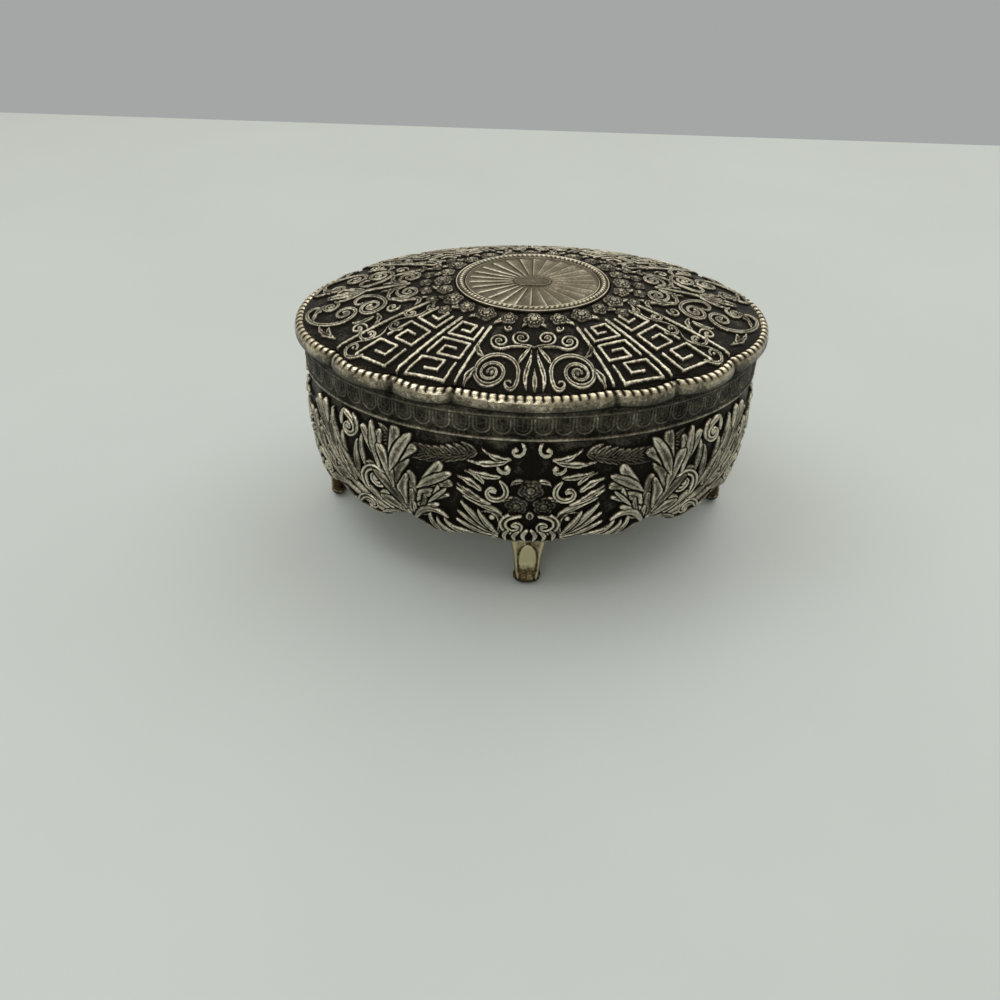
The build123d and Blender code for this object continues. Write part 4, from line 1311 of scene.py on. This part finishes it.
def foot_mesh():
    """Rings and faces of the front foot, with the rim's oval at Y 0 and outward along -Y."""
    rings = Rings()
    stations = np.linspace(18.6, 2.6, FOOT_ROWS)
    width = np.interp(stations, (2.6, 5.2, 10.0, 18.6), (3.3, 3.75, 4.1, 5.35))
    front = np.interp(stations, (1.6, 4.0, 8.6, 13.0, 18.6), (2.1, 2.3, 2.75, 2.3, 1.5))
    back = np.interp(stations, (1.6, 4.5, 9.0, 15.5, 18.6), (5.6, 5.4, 5.0, 5.2, 5.4))
    # A rounded square section, from the front round the side to the back
    around = full_turn(FOOT_COLUMNS)
    c, s = np.cos(around), np.sin(around)
    k = (np.abs(c) ** 5 + np.abs(s) ** 5) ** (-1 / 5)
    facing = np.clip(c * 2.2 - 0.6, 0, 1)
    for z, w, f, b in zip(stations, width, front, back):
        x = w * s * k
        across = np.abs(x) / w
        ridge = 0.5 * bell(across - 0.84, 0.12)
        # The arched panel between the ridges, with a groove round it
        arch = np.clip((12.4 - z) / 6.0, 0.4, 1)
        limit = 0.66 * np.sqrt(np.clip(1 - ease(z - 9.0, 7.0) ** 1.6, 0, 1))
        panel = ease(limit - across, 0.1) * (z > 5.4)
        groove = 0.24 * bell(across - limit - 0.06, 0.09) * (z > 5.0)
        out = facing * (ridge + 0.22 * panel * arch - groove)
        plan = np.column_stack([x, (f + b) / 2 - (b - f) / 2 * c * k - out])
        fade = ease(z - 5.5, 3.5)
        rings.add(
            plan, z, np.clip(0.3 + 0.2 * fade + facing * (0.5 * panel * fade + ridge * 1.0), 0, 1),
            np.clip(facing * groove * 1.6 + 0.25 * (1 - facing) - 0.1, -0.1, 0.9),
        )
    faces = tube_faces(FOOT_ROWS, FOOT_COLUMNS)
    # The curled toe: a rounded drum across the leg, with grooves round it, and painted highlights in two
    # narrow bands along the drum, at its front and its back
    turns = full_turn(TOE_COLUMNS)
    toe_highlight = 0.5 + 0.5 * np.cos(2 * turns - 0.6)
    for x in np.linspace(-4.15, 4.15, TOE_ROWS):
        groove = bell(abs(x) - 2.1, 0.22) + bell(abs(x) - 3.3, 0.16)
        r = TOE_RADIUS * math.sqrt(1 - (abs(x) / 4.2) ** 3) - 0.16 * groove
        plan = np.column_stack([np.full(TOE_COLUMNS, x), 4.1 - r * np.cos(turns)])
        z = np.maximum(TOE_RADIUS + r * np.sin(turns), 0.0)
        # Painted highlight: the toe is brighter at two angles round the drum
        rings.add(plan, z, 0.12 + 0.5 * toe_highlight**3, 0.1 + 0.4 * groove)
    faces += tube_faces(TOE_ROWS, TOE_COLUMNS, first=FOOT_ROWS * FOOT_COLUMNS)
    return rings, faces


class TrinketBoxFittings(bpy.types.Operator):
    """Give the plate, hinge, screws and cards their finishes, and make the hinge's saddles and bearers"""

    bl_idname = "trinket_box.fittings"
    bl_label = "Plate and hinge"

    def execute(self, context):
        for node, finish in (
            ("base_plate", "plain_silver"), ("hinge_body_tubes", "plain_silver"),
            ("hinge_lid_tubes", "plain_silver"), ("hinge_pin", "steel"), ("foot_screws", "steel"),
            ("floor_card", "card"), ("lid_card", "card"),
        ):
            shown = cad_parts[node]
            shown.data.materials.clear()
            shown.data.materials.append(material_of(finish))
        for name, body, places, low, high in (
            ("lid_saddle", "lid", (-6.2, 6.2), HINGE_Z + 0.6, LID_BASE + SLOT_RISE + 0.1),
            ("tube_bearer", "box", (-12.4, 0.0, 12.4), HINGE_Z - 3.4, HINGE_Z - 0.2),
        ):
            for number, x in enumerate(places):
                self.add_block(f"{name}_{number + 1}", body, x, low, high)
        return {"FINISHED"}

    def add_block(self, name, body, x, low, high):
        """Makes a block between two heights under or over a tube of the hinge, with its bore."""
        bpy.ops.mesh.primitive_cube_add(size=1, location=(x * MM, HINGE_Y * MM, (low + high) / 2 * MM))
        piece = bpy.context.object
        piece.name = name
        piece.scale = (5.9 * MM, 2.9 * MM, (high - low) * MM)
        bpy.ops.object.transform_apply(location=True, rotation=True, scale=True)
        if body == "box":
            # The bearer's foot is drawn in, so that it stays inside the band
            for vertex in piece.data.vertices:
                if vertex.co.z < HINGE_Z * MM - 0.001 and vertex.co.y > HINGE_Y * MM:
                    vertex.co.y = (HINGE_Y - 0.7) * MM
        bpy.ops.mesh.primitive_cylinder_add(
            vertices=48, radius=HINGE_BORE * MM, depth=8 * MM, rotation=(0, math.pi / 2, 0),
            location=(x * MM, HINGE_Y * MM, HINGE_Z * MM),
        )
        bore = bpy.context.object
        select_only(piece)
        cut = piece.modifiers.new("Bore", "BOOLEAN")
        cut.operation = "DIFFERENCE"
        cut.object = bore
        bpy.ops.object.modifier_apply(modifier=cut.name)
        bpy.data.objects.remove(bore)
        finish_piece(piece, body, "plain_silver")


def velvet_pad(name, node, face_down):
    """A thin stuffed pad on its card, before it is simulated, and the points of it that are glued down."""
    low, high = (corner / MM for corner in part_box(node))
    angle = full_turn(PAD_COLUMNS)
    rx, ry, thick = high.x - 0.5, high.y - 0.5, high.z - low.z
    # Each ring as a share of the pad's oval and a height over its card: the crown, then the glued edge
    shares = np.linspace(0.06, 1.0, PAD_ROWS)
    crown = [(share, thick * 0.4 + thick * 0.34 * (1 - 0.3 * share**6)) for share in shares]
    rings = [*crown, (1.004, thick * 0.4), (1.0, 0.1), (0.5, 0.0)]
    points = np.concatenate([
        row_at(oval(angle, rx * share, ry * share), high.z - rise if face_down else low.z + rise)
        for share, rise in rings
    ])
    held = list(range((PAD_ROWS - 1) * PAD_COLUMNS, len(points)))
    return new_piece(name, points, tube_faces(len(rings), PAD_COLUMNS)), held


def stuff(piece, held, cap):
    """Swells a pad as cloth under pressure, with its glued points held, and caps how far the rest moves."""
    scene = bpy.context.scene
    before = [vertex.co.copy() for vertex in piece.data.vertices]
    glued = piece.vertex_groups.new(name="glued")
    glued.add(held, 1.0, "REPLACE")
    select_only(piece)
    cloth = piece.modifiers.new("Cloth", "CLOTH")
    cloth.settings.vertex_group_mass = glued.name
    cloth.settings.use_pressure = True
    cloth.settings.uniform_pressure_force = 4
    cloth.settings.effector_weights.gravity = 0
    cloth.point_cache.frame_start, cloth.point_cache.frame_end = 1, PAD_FRAMES
    for number in range(1, PAD_FRAMES + 1):
        scene.frame_set(number)
    bpy.ops.object.modifier_apply(modifier=cloth.name)
    scene.frame_set(1)
    for vertex, start in zip(piece.data.vertices, before):
        move = vertex.co - start
        if move.length > cap:
            vertex.co = start + move * (cap / move.length)
    piece.vertex_groups.clear()
    finer = piece.modifiers.new("Finer", "SUBSURF")
    finer.levels = finer.render_levels = 1
    bpy.ops.object.modifier_apply(modifier=finer.name)


class TrinketBoxLinings(bpy.types.Operator):
    """Make the velvet floor pad, the pad in the lid and the velvet round the wall"""

    bl_idname = "trinket_box.linings"
    bl_label = "Velvet linings"

    def execute(self, context):
        for name, node, body, face_down in (
            ("velvet_floor_pad", "floor_velvet", "box", False), ("velvet_lid_pad", "lid_velvet", "lid", True),
        ):
            piece, held = velvet_pad(name, node, face_down)
            stuff(piece, held, PAD_SWELL * MM)
            finish_piece(piece, body, "velvet")
            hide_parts(node)
        # The wall's lining: a strip that bows a little between folds of its card
        angle = full_turn(LINING_COLUMNS)
        normal = rim_normal(angle)
        base = oval(angle, lining_high.x, lining_high.y)
        ripple = 0.12 * np.sin(angle * 23) + 0.08 * np.sin(angle * 41 + 1)
        low, high = lining_low.z, lining_high.z
        rows = []
        for share in np.linspace(0, 1, LINING_ROWS):
            depth = 1.25 + ripple * math.sin(math.pi * share) * 0.8
            rows.append(row_at(base - normal * depth[:, None], low + (high - 0.6 - low) * share))
        for depth, z in (
            (1.1, high - 0.25), (0.75, high), (0.3, high), (0.06, high - 0.2),
            (0.06, low + (high - low) * 0.6), (0.06, low),
        ):
            rows.append(row_at(base - normal * depth, z))
        piece = ring_shell("velvet_wall", rows)
        finish_piece(piece, "box", "velvet")
        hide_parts("wall_lining")
        return {"FINISHED"}


class TrinketBoxStage(bpy.types.Operator):
    """Set the table, the lamps, the world and the camera"""

    bl_idname = "trinket_box.stage"
    bl_label = "Stage"

    # The camera, as it stood for the photograph
    camera_place = (-7.97, -238.57, 184.41)
    camera_pitch = 38.2
    camera_yaw = 0.13
    camera_roll = 0.84
    camera_lens = 31.5

    # The table: its depth, where its far edge lies, in metres, and how far that is turned, in radians
    table_depth = 3
    table_edge = 0.438
    table_askew = 0.063

    def execute(self, context):
        look = values()
        scene = context.scene
        scene.view_settings.view_transform = "Standard"
        # The table's far edge runs a little askew
        bpy.ops.mesh.primitive_plane_add(size=1, location=(0, 0, 0))
        table = context.object
        table.name = "table"
        table.scale = (6, self.table_depth, 1)
        table.location = (0, self.table_edge - self.table_depth / 2, 0)
        bpy.ops.object.transform_apply(location=True, rotation=False, scale=True)
        middle = (0, self.table_edge, 0)
        bpy.ops.transform.rotate(value=self.table_askew, orient_axis="Z", center_override=middle)
        bpy.ops.object.transform_apply(location=True, rotation=True, scale=True)
        table.data.materials.append(table_material("table", tuple(look.table)))
        world = bpy.data.worlds.new("room")
        scene.world = world
        world.use_nodes = True
        self.room(world.node_tree, tuple(look.backdrop))
        for name, place, size, power, colour in (
            ("window", (0.55, 0.5, 0.85), 1.1, 3.3, (0.97, 1, 1)),
            ("ceiling", (-0.5, 0.1, 0.9), 0.6, 2.3, (0.97, 1, 1)),
            ("front", (-0.25, -0.9, 0.6), 0.5, 1.6, (0.98, 0.99, 1)),
        ):
            bpy.ops.object.light_add(type="AREA", location=place)
            lamp = context.object
            lamp.name = name
            lamp.data.size = size
            lamp.data.energy = power
            lamp.data.color = colour
            lamp.rotation_euler = Vector(place).to_track_quat("Z", "Y").to_euler()
        bpy.ops.object.camera_add()
        camera = context.object
        turn = (
            Matrix.Rotation(math.radians(self.camera_yaw), 4, "Z")
            @ Matrix.Rotation(math.radians(90 - self.camera_pitch), 4, "X")
            @ Matrix.Rotation(math.radians(self.camera_roll), 4, "Z")
        )
        camera.matrix_world = Matrix.Translation([c * MM for c in self.camera_place]) @ turn
        camera.data.lens = self.camera_lens
        camera.data.clip_start = 0.01
        scene.camera = camera
        return {"FINISHED"}

    def room(self, tree, backdrop):
        """A room that is dark below and bright above, and plain behind the table for the camera."""
        place = tree.nodes.new("ShaderNodeTexCoord").outputs["Generated"]
        parts = add_node(tree, "ShaderNodeSeparateXYZ", Vector=place).outputs
        rise = maths(tree, "ADD", maths(tree, "MULTIPLY", parts["Y"], 0.35), parts["Z"])
        height = maths(tree, "MULTIPLY", maths(tree, "ADD", rise, 0.45), 0.62, clamp=True)
        stops = ((0.0, (0.12, 0.11, 0.09)), (0.4, (0.34, 0.325, 0.28)), (1.0, (0.98, 0.94, 0.85)))
        seen = tree.nodes.new("ShaderNodeLightPath").outputs["Is Camera Ray"]
        shade = mix_colours(tree, seen, ramp(tree, height, *stops), backdrop)
        fill_inputs(tree, tree.nodes["Background"], Color=shade, Strength=1.0)


class TrinketBoxPanel(bpy.types.Panel):
    """The values and the operators, in the order in which the box is made"""

    bl_idname = "VIEW3D_PT_trinket_box"
    bl_label = "Trinket Box"
    bl_space_type = "VIEW_3D"
    bl_region_type = "UI"
    bl_category = "Trinket Box"

    def draw(self, context):
        for key in TrinketBoxValues.__annotations__:
            self.layout.prop(context.scene.trinket_box, key)
        for operator in OPERATORS:
            self.layout.operator(operator.bl_idname)


OPERATORS = (
    TrinketBoxDome, TrinketBoxBorder, TrinketBoxMedallion, TrinketBoxWall, TrinketBoxBand, TrinketBoxFeet,
    TrinketBoxFittings, TrinketBoxLinings, TrinketBoxStage,
)
CLASSES = (TrinketBoxValues, *OPERATORS, TrinketBoxPanel)


def register():
    for item in CLASSES:
        bpy.utils.register_class(item)
    bpy.types.Scene.trinket_box = PointerProperty(type=TrinketBoxValues)


def unregister():
    del bpy.types.Scene.trinket_box
    for item in reversed(CLASSES):
        bpy.utils.unregister_class(item)


def main():
    register()
    bpy.ops.object.select_all(action="DESELECT")
    bpy.ops.trinket_box.dome()
    bpy.ops.trinket_box.border()
    bpy.ops.trinket_box.medallion()
    bpy.ops.trinket_box.wall()
    bpy.ops.trinket_box.band()
    bpy.ops.trinket_box.feet()
    bpy.ops.trinket_box.fittings()
    bpy.ops.trinket_box.linings()
    bpy.ops.trinket_box.stage()


if __name__ == "__main__":
    main()
